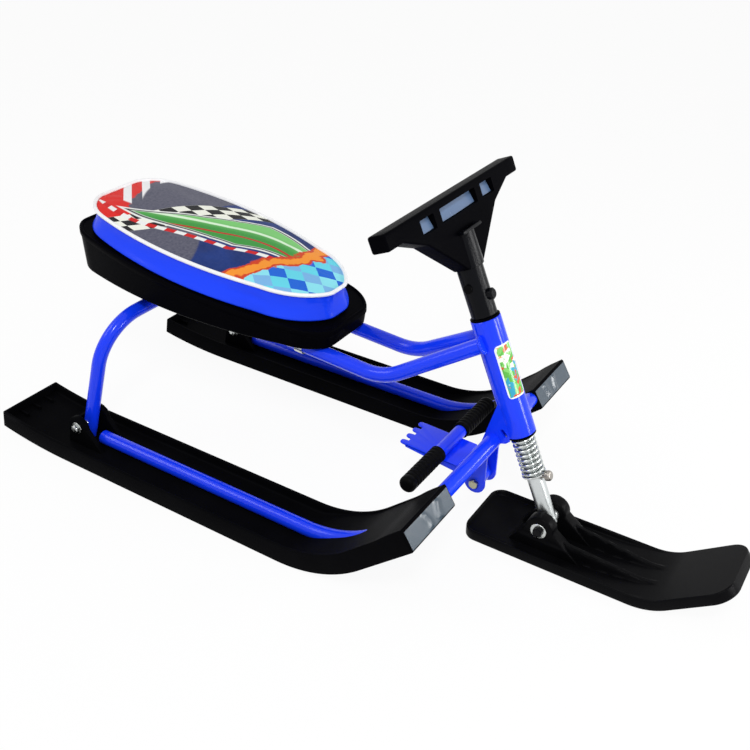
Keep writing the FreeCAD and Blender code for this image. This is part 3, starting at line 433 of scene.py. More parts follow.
def makeMetal(name, bright, dull, rough, spangle=260.0, mottle=1.0):
    # Plated steel: crystals of slightly different tone, a fine grain, dull spots.
    metal = Finish(name, **{"Metallic": 1.0})
    crystal = metal.redOf(metal.cells(spangle, output="Color"))
    spots = metal.step(metal.noise(70.0, 4.0), 0.50, 0.72)
    metal.shape({"Base Color": metal.blend((crystal * 0.35 + spots * 0.45) * mottle, bright, dull),
                 "Roughness": rough + (crystal * 0.06 + spots * 0.14) * mottle})
    metal.bump(metal.noise(600.0, 2.0) + crystal * 0.3, 0.05 * mottle, 0.0005)
    return metal.material


def makeCordVinyl(name, clean, dusty):
    # Pale vinyl with clouds of dust and a fine grain.
    cord = Finish(name, **{"IOR": 1.46})
    dust = cord.noise(60.0, 4.0)
    cord.shape({"Base Color": cord.blend(dust * 0.5, clean, dusty), "Roughness": 0.36 + dust * 0.12})
    cord.bump(cord.cells(900.0) + cord.noise(240.0, 2.0), 0.12, 0.0005)
    return cord.material


bluePaint = makePaint("bluePaint", opaque(0.006, 0.052, 0.98), opaque(0.003, 0.030, 0.84),
                      mark=opaque(0.08, 0.14, 0.84))
skiPlastic = makePlastic("skiPlastic", opaque(0.0012, 0.0012, 0.0016), opaque(0.012, 0.012, 0.014), rough=0.36,
                         gloss=0.006)
frontPlastic = makePlastic("frontPlastic", opaque(0.0012, 0.0012, 0.0016), opaque(0.016, 0.016, 0.018),
                           rough=0.26, gloss=0.035)
mouldedPlastic = makePlastic("mouldedPlastic", opaque(0.0008, 0.0008, 0.0014), opaque(0.006, 0.006, 0.008),
                             rough=0.28, gloss=0.005, grain=2100.0, scuff=0.4)
sleeveGloss = makePlastic("sleeveGloss", opaque(0.0010, 0.0012, 0.0022), opaque(0.006, 0.007, 0.011),
                          rough=0.12, gloss=0.10, grain=2100.0, scuff=0.2)
gripRubber = makePlastic("gripRubber", opaque(0.0015, 0.0015, 0.0018), opaque(0.008, 0.008, 0.008),
                         rough=0.40, gloss=0.03, grain=1200.0, scuff=0.2)
# painted reflection: the ski's end faces are black plastic, and this light grey-blue stands in for the light
# they mirror
tipPaintedReflection = makePlastic("tipPaintedReflection", opaque(0.030, 0.052, 0.075), opaque(0.095, 0.125, 0.155), rough=0.20,
                       gloss=0.7, scuff=0.7)
# painted light: the pockets are black plastic, and this pale blue stands in for the light that falls into them
pocketPaintedLight = makePlastic("pocketPaintedLight", opaque(0.075, 0.13, 0.25), opaque(0.24, 0.34, 0.48), rough=0.20,
                          gloss=0.5, scuff=0.7)
zincSteel = makeMetal("zincSteel", opaque(0.60, 0.62, 0.61), opaque(0.33, 0.34, 0.34), rough=0.16)
polishedSteel = makeMetal("polishedSteel", opaque(0.60, 0.63, 0.62), opaque(0.34, 0.36, 0.35), rough=0.12,
                          mottle=0.3)
satinSteel = makeMetal("satinSteel", opaque(0.62, 0.65, 0.65), opaque(0.40, 0.42, 0.42), rough=0.30,
                       mottle=0.3)
yellowZinc = makeMetal("yellowZinc", opaque(0.40, 0.39, 0.29), opaque(0.24, 0.22, 0.14), rough=0.20)
dullSteel = makeMetal("dullSteel", opaque(0.36, 0.34, 0.31), opaque(0.20, 0.18, 0.16), rough=0.34,
                      spangle=320.0)
pipingVinyl = makeCordVinyl("pipingVinyl", opaque(0.92, 0.92, 0.93), opaque(0.74, 0.75, 0.78))
print("finishes made")

# printed finishes

seatPrint = {
    "middle": -0.28, "halfLong": 0.215, "halfWide": 0.10,      # metres; the rest counts in these halves
    "asphalt": (-2.0, -0.12), "tail": (-0.62, -0.60), "bars": (-0.92, -0.70), "barSide": (-0.35, -0.30),
    "flag": (-0.425, -0.17), "flagSquare": (0.085, 0.19), "leafWide": 0.44, "leafMiddle": 0.18,
    "leafSoft": (0.0, 0.02), "leafShade": (-0.10, 0.22), "leafEdge": (-0.075, -0.055),
    "leafLine": (-0.03, 0.0), "kerb": (-0.20, -0.12), "kerbSide": (-0.02, 0.0), "kerbBlock": 0.075,
    "shine": (0.05, 0.12), "stripe": (-0.20, -0.155),
    "tiles": (0.55, 0.565), "tile": (0.135, 0.15), "flame": (0.45, 0.585), "flameHeart": (0.475, 0.555),
}
printColors = {
    "night": (opaque(0.004, 0.008, 0.040), opaque(0.012, 0.050, 0.28)),
    "asphalt": (opaque(0.050, 0.052, 0.085), opaque(0.15, 0.15, 0.20)),
    "tail": opaque(0.72, 0.018, 0.014), "bars": opaque(0.90, 0.90, 0.91),
    "flag": (opaque(0.88, 0.89, 0.80), opaque(0.008, 0.008, 0.010)),
    "leaf": (opaque(0.045, 0.30, 0.050), opaque(0.20, 0.58, 0.17)),
    "leafEdge": opaque(0.86, 0.88, 0.86), "leafLine": opaque(0.004, 0.010, 0.008),
    "kerb": (opaque(0.62, 0.014, 0.014), opaque(0.86, 0.87, 0.86)),
    "shine": opaque(0.70, 0.90, 0.66), "stripe": opaque(0.50, 0.02, 0.02),
    "tiles": (opaque(0.13, 0.66, 0.80), opaque(0.012, 0.13, 0.66)), "tileHaze": opaque(0.42, 0.86, 0.93),
    "flame": opaque(0.62, 0.05, 0.012), "flameHeart": opaque(0.90, 0.30, 0.030), "dust": opaque(0.5, 0.5, 0.5),
    "vinyl": (opaque(0.005, 0.044, 0.84), opaque(0.008, 0.060, 0.98)),
}
labelStops = [      # where each colour of the label's chips starts
    (0.0, opaque(0.60, 0.78, 0.80)), (0.17, opaque(0.03, 0.36, 0.52)), (0.32, opaque(0.62, 0.10, 0.03)),
    (0.44, opaque(0.10, 0.44, 0.06)), (0.62, opaque(0.22, 0.60, 0.14)), (0.74, opaque(0.82, 0.86, 0.80)),
    (0.86, opaque(0.74, 0.36, 0.12)), (0.94, opaque(0.02, 0.03, 0.06)),
]


def makeSeatCover(k, colors):
    # Blue vinyl with a leather grain; inside the piping a printed top of stripes, checks and sweeps.
    cover = Finish("seatCover", **{"IOR": 1.47, "Coat Roughness": 0.12, "Specular IOR Level": 0.05})
    spot = cover.place()
    x, y = [cover.node("ShaderNodeSeparateXYZ", {}, {0: spot}, axis) for axis in ("X", "Y")]
    x, y = (x - k["middle"]) / k["halfLong"], y / k["halfWide"]
    floor = lambda value: value.reckon("FLOOR", value)
    wave = lambda value: value.reckon("SINE", value)
    checks = lambda first, second, size: (floor(first / size[0]) + floor(second / size[1])) % 2
    grit = cover.noise(260.0, 3.0)
    rear = x + wave(y * 2.3 + 0.6) * 0.10 + y * 0.10      # lines across the rear, bent
    torn = rear + cover.noise(26.0, 4.0) * 0.30
    bars = cover.band((x * 5.2 + y * 2.4) % 1, 0.0, 0.44, 0.02) * cover.band(rear, *k["bars"])
    flag = x * 0.92 - y * 0.34 + wave(y * 2.8) * 0.045
    squares = checks(flag, y * 0.92 + x * 0.34, k["flagSquare"])
    sweep = y - wave(x * 2.6 + 0.5) * 0.42 + 0.10         # away from the leaf's middle line
    inside = k["leafWide"] - abs(x - k["leafMiddle"]) * 0.52 - abs(sweep)
    leaf = cover.step(inside, *k["leafSoft"])
    kerb = cover.band(inside, *k["kerb"]) * (1 - cover.step(sweep, *k["kerbSide"]))
    front = x - wave(y * 2.0 + 0.4) * 0.13                # lines across the front, bent
    slant, lean = x * 0.8 + y * 0.42, y * 0.62 - x * 0.75
    tiles = cover.blend(checks(slant, lean, k["tile"]), *colors["tiles"])
    haze = checks(slant, lean, [size * 2 for size in k["tile"]]) * 0.45
    flame = front + cover.noise(30.0, 5.0) * 0.26 - 0.13
    color = cover.blend(cover.noise(22.0, 3.0), *colors["night"])
    for share, over in (
            (cover.band(rear, *k["asphalt"]), cover.blend(grit, *colors["asphalt"])),
            (1 - cover.step(torn, *k["tail"]), colors["tail"]),
            (bars * cover.step(y, *k["barSide"]), colors["bars"]),
            (cover.band(flag, *k["flag"], 0.006), cover.blend(squares, *colors["flag"])),
            (cover.step(inside, *k["leafEdge"]), colors["leafEdge"]),
            (kerb, cover.blend(floor(x / k["kerbBlock"]) % 2, *colors["kerb"])),
            (cover.band(inside, *k["leafLine"]), colors["leafLine"]),
            (leaf, cover.blend(cover.step(sweep, *k["leafShade"]), *colors["leaf"])),
            (cover.band(sweep, *k["shine"]) * leaf, colors["shine"]),
            (cover.band(sweep, *k["stripe"]) * leaf, colors["stripe"]),
            (cover.step(front, *k["tiles"]), cover.blend(haze, tiles, colors["tileHaze"])),
            (cover.band(flame, *k["flame"], 0.008), colors["flame"]),
            (cover.band(flame, *k["flameHeart"], 0.008), colors["flameHeart"]),
            (grit * 0.05, colors["dust"])):
        color = cover.blend(share, color, over)
    vinyl = cover.blend(cover.noise(7.0, 2.0), *colors["vinyl"])
    top = cover.step(cover.mark("rimAway"), -0.001, 0.001)
    cover.shape({"Base Color": cover.blend(top, vinyl, color), "Roughness": 0.40 + grit * 0.10 - top * 0.06,
                 "Coat Weight": 0.30 - top * 0.30})
    grain = cover.cells(520.0, "DISTANCE_TO_EDGE") * (1 - top * 0.6)
    cover.bump(grain + cover.noise(48.0, 2.0) * 1.5, 0.16, 0.0008)
    return cover.material


def makeLabelPrint(stops, border):
    # A glossy sheet with a white border and chips of the seat's colours.
    label = Finish("labelPrint", **{"IOR": 1.5, "Specular IOR Level": 0.3, "Coat Weight": 0.2,
                                    "Coat Roughness": 0.08})
    across, up = abs(label.mark("labelAcross")), label.mark("labelUp")
    ragged = label.noise(160.0, 3.0)
    patch = label.redOf(label.cells(165.0, output="Color", stretch=(1.0, 1.0, 0.75)))
    chips = label.chips(patch * 0.55 + up * 0.16 + ragged * 0.35 + 0.06, stops)
    edge = across.reckon("MAXIMUM", across, 1 - (1 - abs(up)) * 2.6)
    label.shape({"Base Color": label.blend(label.step(edge, 0.84, 0.87), chips, border),
                 "Roughness": 0.18 + ragged * 0.1})
    label.bump(label.noise(300.0, 2.0), 0.05, 0.0004)
    return label.material


seatCover = makeSeatCover(seatPrint, printColors)
labelPrint = makeLabelPrint(labelStops, border=opaque(0.86, 0.90, 0.90))
print("seat finishes made")

# surroundings

white = opaque(1, 1, 1)


def seenRays(tree):
    # One for the rays that look at the background: camera, mirror and clear-glass rays.
    path = tree.nodes.new("ShaderNodeLightPath")
    camera, mirror, glass = [Wire(tree, path.outputs["Is %s Ray" % kind])
                             for kind in ("Camera", "Glossy", "Transmission")]
    return camera + mirror + glass


def makeSky(setup):
    # Strength = the level for light on the sled, and one for the rays that look at the background.
    world = bpy.data.worlds.new("whiteStudio")
    world.use_nodes = True
    tree = world.node_tree
    sky = tree.nodes["Background"].inputs
    feed(tree, sky["Color"], white)
    feed(tree, sky["Strength"], setup["skyLevel"] + (1 - setup["skyLevel"]) * seenRays(tree))
    bpy.context.scene.world = world


def makeFloor(setup):
    # A flat square whose shaded white is mixed with plain white, so that only the shadow shows.
    floor = Finish("paleFloor", **{"Base Color": setup["floorColor"], "Roughness": setup["floorRough"],
                                   "Specular IOR Level": setup["floorGloss"]})
    glow = floor.node("ShaderNodeEmission", {}, {"Color": white, "Strength": 1.0})
    shaded = Wire(floor.tree, floor.shader.outputs[0])
    share = seenRays(floor.tree) * setup["floorGlow"]
    seen = floor.node("ShaderNodeMixShader", {}, {0: share, 1: shaded, 2: glow})
    feed(floor.tree, floor.tree.nodes["Material Output"].inputs["Surface"], seen)
    half = setup["floorSize"] / 2
    mesh = bpy.data.meshes.new("studioFloor")
    mesh.from_pydata([(-half, -half, 0), (half, -half, 0), (half, half, 0), (-half, half, 0)], [],
                     [(0, 1, 2, 3)])
    mesh.materials.append(floor.material)
    plane = linked("studioFloor", mesh)


makeSky(studio)
makeFloor(studio)
print("camera, lamps and floor set")

# tube frame, in layout millimetres

frameTubes = {
    "radius": 11.0,
    "archLean": 12.4, "archLegAngle": 6.5, "archHeight": 220.0, "archFoot": 20.0, "archBend": 78.0,
    "boltX": 150.0, "boltHeight": 49.0, "halfTrack": 194.0,
    "mainHalf": 46.0, "mainTail": 130.0, "mainSlope": 3.9, "mainCorner": 611.0, "mainBend": 90.0,
    "mainEndHeight": 144.0, "mainEndHalf": 22.0,
    "lowerHeight": 27.3, "lowerStart": 178.0, "lowerCorner": 648.5, "lowerBend": 185.0,
    "crossCorner": (757.5, 123.7), "crossBend": 45.0, "crossMiddle": (778.83, 159.0), "crossMiddleBend": 60.0,
}
weldBead = {
    "back": 2.2, "sunk": 0.4, "radius": 2.3,       # from the tube's end, into the tube, of the cord
    "ripples": ((0.35, 17, 0), (0.2, 5, 1)),       # height, count round the tube and start of each wave
}
headTube = {"foot": (809.0, 0.0, 170.0), "lean": 23.6, "length": 174.0, "radius": 21.0, "wall": 3.0,
            "edge": 0.8}
headLabel = {"middle": 98.0, "angle": -22.0, "high": 78.0, "wide": 30.0, "corner": 6.0, "thick": 0.25,
             "sunk": 0.2, "narrowest": 0.2}

headFoot = np.array(headTube["foot"])
headLean = math.radians(headTube["lean"])
headUp = np.array([-math.sin(headLean), 0.0, math.cos(headLean)])
headAhead = np.array([math.cos(headLean), 0.0, math.sin(headLean)])
acrossSled = np.array([0.0, 1.0, 0.0])
upSled = np.array([0.0, 0.0, 1.0])


def headPoint(height, ahead=0.0, across=0.0):
    return headFoot + headUp * height + headAhead * ahead + acrossSled * across


def onHead(points):
    # (ahead, across, height) about the head axis to the layout.
    return headFoot + points[..., :1] * headAhead + points[..., 1:2] * acrossSled + points[..., 2:] * headUp


def archPoint(t, height, side=1):
    # Where the arch's leg is at a height: it leans back from the bolt and inward from the track.
    return [t["boltX"] + (height - t["boltHeight"]) * tangent(t["archLean"]),
            side * (t["halfTrack"] - (height - t["archFoot"]) * tangent(t["archLegAngle"])), height]


def mainPoint(t, x):
    # A main tube's axis: it rests on the arch and falls towards the head.
    top = archPoint(t, t["archHeight"])
    return np.array([x, t["mainHalf"], top[2] + 2 * t["radius"] - (x - top[0]) * tangent(t["mainSlope"])])


def makeArch(t):
    # Foot, shoulder, shoulder and foot, with a bend at each shoulder.
    points = [archPoint(t, t[level], side)
              for level, side in (("archFoot", 1), ("archHeight", 1), ("archHeight", -1), ("archFoot", -1))]
    shell = tubeShell(points, [t["archBend"]] * 2, t["radius"], (1, 0, 0), steps=22)
    return putPiece("rearArch", shell, bluePaint, "frame", ["rear_arch"])


def makeMainTube(t, side, name, node):
    # From the tail over the arch to a bend, and on to the head tube's side.
    end = headPoint(t["mainEndHeight"], 0, t["mainEndHalf"])
    points = [mainPoint(t, t["mainTail"]), mainPoint(t, t["mainCorner"]), end]
    shell = tubeShell(points, [t["mainBend"]], t["radius"], acrossSled)
    return putPiece(name, onSide(shell, side), bluePaint, "frame", [node])


def makeWeldBead(t, k, side, name):
    # A cord round the tube's end, whose radius is a mean + waves round the tube, for the weld's ripples.
    end = headPoint(t["mainEndHeight"], 0, t["mainEndHalf"])
    along = unit(end - mainPoint(t, t["mainCorner"]))
    first = unit(np.cross(along, upSled))
    axes = np.stack([first, np.cross(first, along)])
    ring = ringProfile(1.0, 96)
    angle = np.linspace(0, 2 * math.pi, len(ring), endpoint=False)
    line = end - along * k["back"] + (ring @ axes) * (t["radius"] - k["sunk"])
    heading = np.stack([-ring[:, 1], ring[:, 0]], axis=-1) @ axes
    size = k["radius"] + sum(high * np.sin(angle * count + start) for high, count, start in k["ripples"])
    grid = carried(line, heading, ringProfile(1.0, 10)[None] * size[:, None, None], along)
    shell = onSide(gridShell(grid, loopAlong=True), side)
    return putPiece(name, shell, bluePaint, "frame", sharp=60)


def makeLowerHoop(t):
    # One tube from ski to ski: in both ski channels, up at their tips and across behind the head.
    half = t["halfTrack"]
    left = [[t["lowerStart"], half, t["lowerHeight"]], [t["lowerCorner"], half, t["lowerHeight"]],
            [t["crossCorner"][0], half, t["crossCorner"][1]]]
    right = [[x, -y, z] for x, y, z in left[::-1]]
    points = left + [[t["crossMiddle"][0], 0.0, t["crossMiddle"][1]]] + right
    radii = [t["lowerBend"], t["crossBend"], t["crossMiddleBend"], t["crossBend"], t["lowerBend"]]
    shell = tubeShell(points, radii, t["radius"], (0.6, 0.0, 0.8), steps=20)
    return putPiece("lowerHoop", shell, bluePaint, "frame",
                    ["lower_tube_left", "lower_tube_right", "cross_tube"])


def makeHeadTube(k):
    outer, inner, length, edge = k["radius"], k["radius"] - k["wall"], k["length"], k["edge"]
    profile = [(inner, 0), (outer - edge, 0), (outer, edge), (outer, length / 2), (outer, length - edge),
               (outer - edge, length), (inner, length)]
    shell = turned(profile, headFoot, headUp, 64)
    return putPiece("headTube", shell, bluePaint, "frame", ["head_tube"])


def makeHeadLabel(k, radius):
    # A sheet wrapped on the head tube: half width by height, as in a rectangle with round corners.
    high, wide, corner = k["high"] / 2, k["wide"] / 2, k["corner"]
    rounding = corner - corner * np.cos(quarter(8))
    up = np.concatenate([-high + rounding, (high - rounding)[::-1]])
    past = np.clip(abs(up) - high + corner, 0, corner)
    half = wide - corner + np.sqrt(np.clip(corner ** 2 - past ** 2, k["narrowest"] ** 2, None))
    middle = math.radians(k["angle"])
    angle = middle + half[:, None] * np.linspace(-1, 1, 25)[None] / radius
    ring = np.concatenate([angle, angle[:, ::-1]], axis=1)
    reach = radius + np.repeat([k["thick"], -k["sunk"]], angle.shape[1])[None]
    height = np.broadcast_to((k["middle"] + up)[:, None], ring.shape)
    grid = onHead(np.stack([reach * np.cos(ring), reach * np.sin(ring), height], axis=-1))
    piece = putPiece("headLabel", gridShell(grid), labelPrint, "frame", sharp=60)
    away = pointPlaces(piece.data) / millimetre + layoutMiddle - headFoot
    turn = np.arctan2(away @ acrossSled, away @ headAhead) - middle
    markPoints(piece, "labelAcross", turn * radius / wide)
    markPoints(piece, "labelUp", (away @ headUp - k["middle"]) / high)
    return piece


makeArch(frameTubes)
makeMainTube(frameTubes, 1, "mainTubeLeft", "main_tube_left")
makeMainTube(frameTubes, -1, "mainTubeRight", "main_tube_right")
makeWeldBead(frameTubes, weldBead, 1, "mainWeldLeft")
makeWeldBead(frameTubes, weldBead, -1, "mainWeldRight")
makeLowerHoop(frameTubes)
makeHeadTube(headTube)
makeHeadLabel(headLabel, headTube["radius"])
paintNode("gusset_left", bluePaint)
paintNode("gusset_right", bluePaint)
print("tube frame made")

# skis

rearSki = {
    "half": 56.0, "rim": 31.0, "wall": 5.0, "deck": 16.0, "tailRun": 140.0, "tailKick": 12.8,
    "noseStart": 565.0, "noseRadius": 210.0, "noseAngle": 41.5, "noseRun": 107.0, "tipLean": 0.18,
    "tipBlock": 76.0, "edge": 1.6, "fillet": 4.0,
    "deckRamp": 172.0, "steepRun": 80.0, "slowPast": 55.0, "steepShare": 0.74,      # deck's rise to the tip
    "tailCap": 4.6, "tailCapRun": 3.0, "endRound": 0.8,
    "tipSwell": 0.07, "swellStart": 20.0, "swellRun": 30.0,
    "cheekInner": 17.5, "cheekOuter": 26.5, "cheekTop": 19.0, "cheekBack": 26.0, "cheekFront": 48.0,
    "cheekEdge": 1.4, "sunk": 2.0, "web": 5.0, "webOver": 1.0, "webEdge": 0.8,
    "ribs": (-25.5, 0.0, 25.5), "ribHalf": 2.0, "ribEdge": 0.7,
    "ribOutline": ((5.0, 14.0), (29.0, 14.0), (29.0, 30.0), (5.0, 33.0)),
    "tailStations": (0, 0.8, 1.6, 4.6, 5.4, 7.5, 9.6, 11, 16, 26, 27),              # from the tail
    "tipStations": (98, 90, 82, 76, 70, 62, 54, 46, 36, 24, 12, 4, 1.6, 0.8, 0),    # from the tip
}
tipFace = {
    "border": 2.2, "sideBorder": 2.4, "fade": (0.08, 0.16), "skin": 0.2, "relief": 1.9, "sunk": 0.8,
    "sway": 0.05, "swayRate": 5, "waves": ((-0.10, 1, 0.09), (0.42, -1, 0.11)),     # shift, way of sway, width
}
frontSki = {
    "half": 58.0, "rim": 16.0, "base": 9.0, "wall": 6.0, "tail": 107.0, "flat": 143.0,
    "noseRadius": 90.0, "noseAngle": 36.0, "noseRun": 94.0, "tailCorner": 20.0, "tipCorner": 28.0,
    "edge": 2.2, "wallSoft": 2.5, "wallRun": 4.0, "pocketFade": 60.0, "pocketFadeRun": 90.0,
    "pivot": (864.65, 42.63), "cheekInner": 13.0, "cheekOuter": 33.0, "cheekRadius": 21.0,
    "cheekBack": 46.0, "cheekFront": 66.0, "cheekEdge": 3.0, "sunk": 3.0,
    "ribEnd": 178.0, "ribHalf": 4.5, "ribRise": 24.0, "ribFrom": 23.0, "ribTo": 17.0, "ribSoft": 2.0,
    "ribRun": 4.0, "ribSink": 1.15, "ribOver": 1.0, "ribLive": (-0.16, 0.9), "ribLiveRun": 0.1,
}


def halfRing(count):
    # A half circle of radius one, from the rear over the top to the front.
    angle = np.linspace(math.pi, 0, count)
    return np.stack([np.cos(angle), np.sin(angle)], axis=-1)


def sideLine(flatLine, tilt):
    # A line in the sled's side view: its points, and its headings (cosine, 0, sine) of the tilt.
    nought = np.zeros(len(tilt))
    return (np.stack([flatLine[:, 0], nought, flatLine[:, 1]], axis=-1),
            np.stack([np.cos(tilt), nought, np.sin(tilt)], axis=-1))


def noseLine(startX, radius, turn, run):
    # An arc that starts level at startX, and the straight run on from its end.
    arc = np.stack([startX + radius * np.sin(turn), radius * (1 - np.cos(turn))], axis=-1)
    return np.concatenate([arc, arc[-1] + run[:, None] * np.array([math.cos(turn[-1]), math.sin(turn[-1])])])


def rearSkiLine(k):
    # Tail arc, flat run, nose arc and straight tip: points, headings and the length along the line.
    tailRadius = (k["tailRun"] ** 2 + k["tailKick"] ** 2) / (2 * k["tailKick"])
    stations = np.concatenate([k["tailStations"], np.linspace(36, 132, 14)])
    tailTurn = math.asin(k["tailRun"] / tailRadius) - stations / tailRadius
    tail = np.stack([k["tailRun"] - tailRadius * np.sin(tailTurn), tailRadius * (1 - np.cos(tailTurn))],
                    axis=-1)
    flat = np.stack([np.linspace(k["tailRun"], k["noseStart"], 24), np.zeros(24)], axis=-1)
    turn = np.linspace(0, math.radians(k["noseAngle"]), 25)[1:]
    run = k["noseRun"] - np.array(k["tipStations"])
    flatLine = np.concatenate([tail, flat, noseLine(k["noseStart"], k["noseRadius"], turn, run)])
    tilt = np.concatenate([-tailTurn, np.zeros(24), turn, np.full(len(run), turn[-1])])
    return *sideLine(flatLine, tilt), lengthAlong(flatLine)


def rearSkiProfile(k):
    # Half a section from the keel to the middle of the deck: width and level, and a flag for the inside.
    half, rim, edge, fillet = k["half"], k["rim"], k["edge"], k["fillet"]
    wall, deck = half - k["wall"], k["deck"]
    sine, cosine = np.sin(quarter(5)), np.cos(quarter(5))
    parts = [(np.linspace(0, half - edge, 6)[:-1], np.zeros(5)),
             (half - edge + edge * sine, edge - edge * cosine),
             (half - edge + edge * cosine, rim - edge + edge * sine),
             (wall + edge - edge * sine, rim - edge + edge * cosine),
             (wall - fillet + fillet * cosine, deck + fillet - fillet * sine),
             (np.linspace(wall - fillet, 0, 7)[1:], np.full(6, deck))]
    inside = np.repeat([0.0, 1.0], [15, 16])
    return np.concatenate([np.stack(part, axis=-1) for part in parts]), inside


def makeRearSki(k, t, side, name, node):
    # The section is carried along the line; its deck level rises to the rim at the tail and at the tip.
    line, heading, length = rearSkiLine(k)
    halfProfile, inside = rearSkiProfile(k)
    blockStart = length[-1] - k["tipBlock"]
    inRamp = length - blockStart + k["deckRamp"]
    steep = 1 - (1 - np.clip(inRamp / k["steepRun"], 0, 1)) ** 2
    slow = np.clip(inRamp / (k["deckRamp"] + k["slowPast"]), 0, 1)
    ramp = k["steepShare"] * steep + (1 - k["steepShare"]) * slow
    fill = 1 - smooth((length - k["tailCap"]) / k["tailCapRun"]) + ramp
    level = halfProfile[None, :, 1] + inside * fill[:, None] * (k["rim"] - halfProfile[None, :, 1])
    swell = k["tipSwell"] * smooth((length - blockStart - k["swellStart"]) / k["swellRun"])
    level = level * (1 + swell)[:, None]
    close = np.minimum(length, length[-1] - length)
    pull = np.maximum(0, k["edge"] - close)[:, None] * k["endRound"]
    middle = k["rim"] / 2
    level = middle + (level - middle) * (1 - pull / middle)
    width = halfProfile[None, :, 0] * (1 - pull / k["half"])
    profile = np.stack([width, level], axis=-1)
    profile = np.concatenate([profile, profile[:, -2:0:-1] * np.array([-1.0, 1.0])], axis=1)
    grid = carried(line, heading, profile, upSled)
    lean = smooth((length - length[-1] + k["noseRun"]) / k["noseRun"]) * k["tipLean"]
    shells = [gridShell(grid + (lean[:, None] * profile[..., 1])[..., None] * heading[:, None])]
    boltX, boltZ, foot = t["boltX"], t["boltHeight"], k["deck"] - k["sunk"]
    crown = np.array([boltX, boltZ]) + k["cheekTop"] * halfRing(15)
    cheek = np.concatenate([[(boltX - k["cheekBack"], foot)], crown, [(boltX + k["cheekFront"], foot)]])
    shells += bothSides(cheek, k["cheekInner"], k["cheekOuter"], k["cheekEdge"])
    webX, webHalf = boltX - k["cheekBack"], k["cheekInner"] + k["webOver"]
    web = np.array([(webX, foot), (webX + k["web"], foot), (webX + k["web"], boltZ), (webX, boltZ)])
    shells.append(plateShell(web, -webHalf, webHalf, k["webEdge"], sideways))
    for across in k["ribs"]:
        shells.append(plateShell(np.array(k["ribOutline"]), across - k["ribHalf"], across + k["ribHalf"],
                                 k["ribEdge"], sideways))
    points, faces = joinShells(*shells)
    shell = onSide((points + acrossSled * t["halfTrack"], faces), side)
    return putPiece(name, shell, skiPlastic, "frame", [node], sharp=50)


def makeTipFace(k, f, t, side, name):
    # A thin face on the ski's end, whose light grey-blue colour is a painted reflection on the glossy black
    # end: relief = two soft waves across, fading at the border.
    line, heading = rearSkiLine(k)[:2]
    across = np.linspace(-1, 1, 61)[None, :]
    up = np.linspace(0, 1, 15)[:, None]
    sideFade, endFade = f["fade"]
    fade = np.clip((1 - abs(across)) / sideFade, 0, 1) * np.clip(np.minimum(up, 1 - up) / endFade, 0, 1)
    sway = f["sway"] * np.sin(up * f["swayRate"])
    wave = sum(np.exp(-((across + shift + way * sway) / wide) ** 2) for shift, way, wide in f["waves"])
    out = f["skin"] + f["relief"] * smooth(fade) * wave
    level = f["border"] + up * (k["rim"] - 2 * f["border"]) + 0 * across
    place = across * (k["half"] - f["sideBorder"]) + 0 * up
    ahead, end = heading[-1], line[-1] + acrossSled * t["halfTrack"]
    upward = np.array([-ahead[2], 0.0, ahead[0]])
    front = end + acrossSled * place[..., None] + upward * level[..., None]
    front = front + ahead * (k["tipLean"] * level + out)[..., None]
    back = front[:, ::-1] - ahead * (out[:, ::-1] + f["sunk"])[..., None]
    shell = gridShell(np.concatenate([front, back], axis=1))
    return putPiece(name, onSide(shell, side), tipPaintedReflection, "frame", sharp=60)


def frontSkiLine(k):
    # A flat run turned up at the nose, with more points near both rounded ends.
    near = k["tailCorner"] * (1 - np.cos(quarter(12)))
    flat = np.concatenate([near, np.linspace(near[-1], k["tail"] + k["flat"], 60)[1:]])
    turn = np.linspace(0, math.radians(k["noseAngle"]), 18)[1:]
    far = k["noseRun"] - k["tipCorner"] * (1 - np.cos(quarter(14)[::-1]))
    run = np.concatenate([np.linspace(0, far[0], 9)[1:-1], far])
    level = np.stack([k["pivot"][0] - k["tail"] + flat, 0 * flat], axis=-1)
    flatLine = np.concatenate([level, noseLine(k["pivot"][0] + k["flat"], k["noseRadius"], turn, run)])
    tilt = np.concatenate([0 * flat, turn, np.full(len(run), turn[-1])])
    return *sideLine(flatLine, tilt), lengthAlong(flatLine)


def frontSkiTop(k, length, half, y):
    # The top as a height field: rim, pocket and two ribs that draw together and sink towards the nose.
    fromEnd = np.minimum(length, length[-1] - length)[:, None]
    inward = np.minimum(half - abs(y), fromEnd + k["edge"])
    noseAway = length - k["tail"] - k["flat"] + k["pocketFade"]
    pocket = smooth((inward - k["wall"] + k["wallSoft"]) / k["wallRun"])
    pocket = pocket * (1 - smooth(noseAway / k["pocketFadeRun"]))[:, None]
    top = k["rim"] - pocket * (k["rim"] - k["base"])
    along = ((length - k["tail"] - k["cheekRadius"]) / (k["ribEnd"] - k["cheekRadius"]))[:, None]
    share = np.clip(along, 0, 1)
    ribY = k["ribFrom"] + (k["ribTo"] - k["ribFrom"]) * share
    ridge = 1 - smooth((abs(abs(y) - ribY) - k["ribHalf"] + k["ribSoft"]) / k["ribRun"])
    ridgeTop = k["base"] + k["ribRise"] * (1 - share) ** k["ribSink"]
    ridgeTop = ridgeTop + (k["rim"] + k["ribOver"] - k["base"]) * share
    starts, ends = [smooth((along - place) / k["ribLiveRun"]) for place in k["ribLive"]]
    return np.maximum(top, top + (ridgeTop - top) * ridge * starts * (1 - ends))


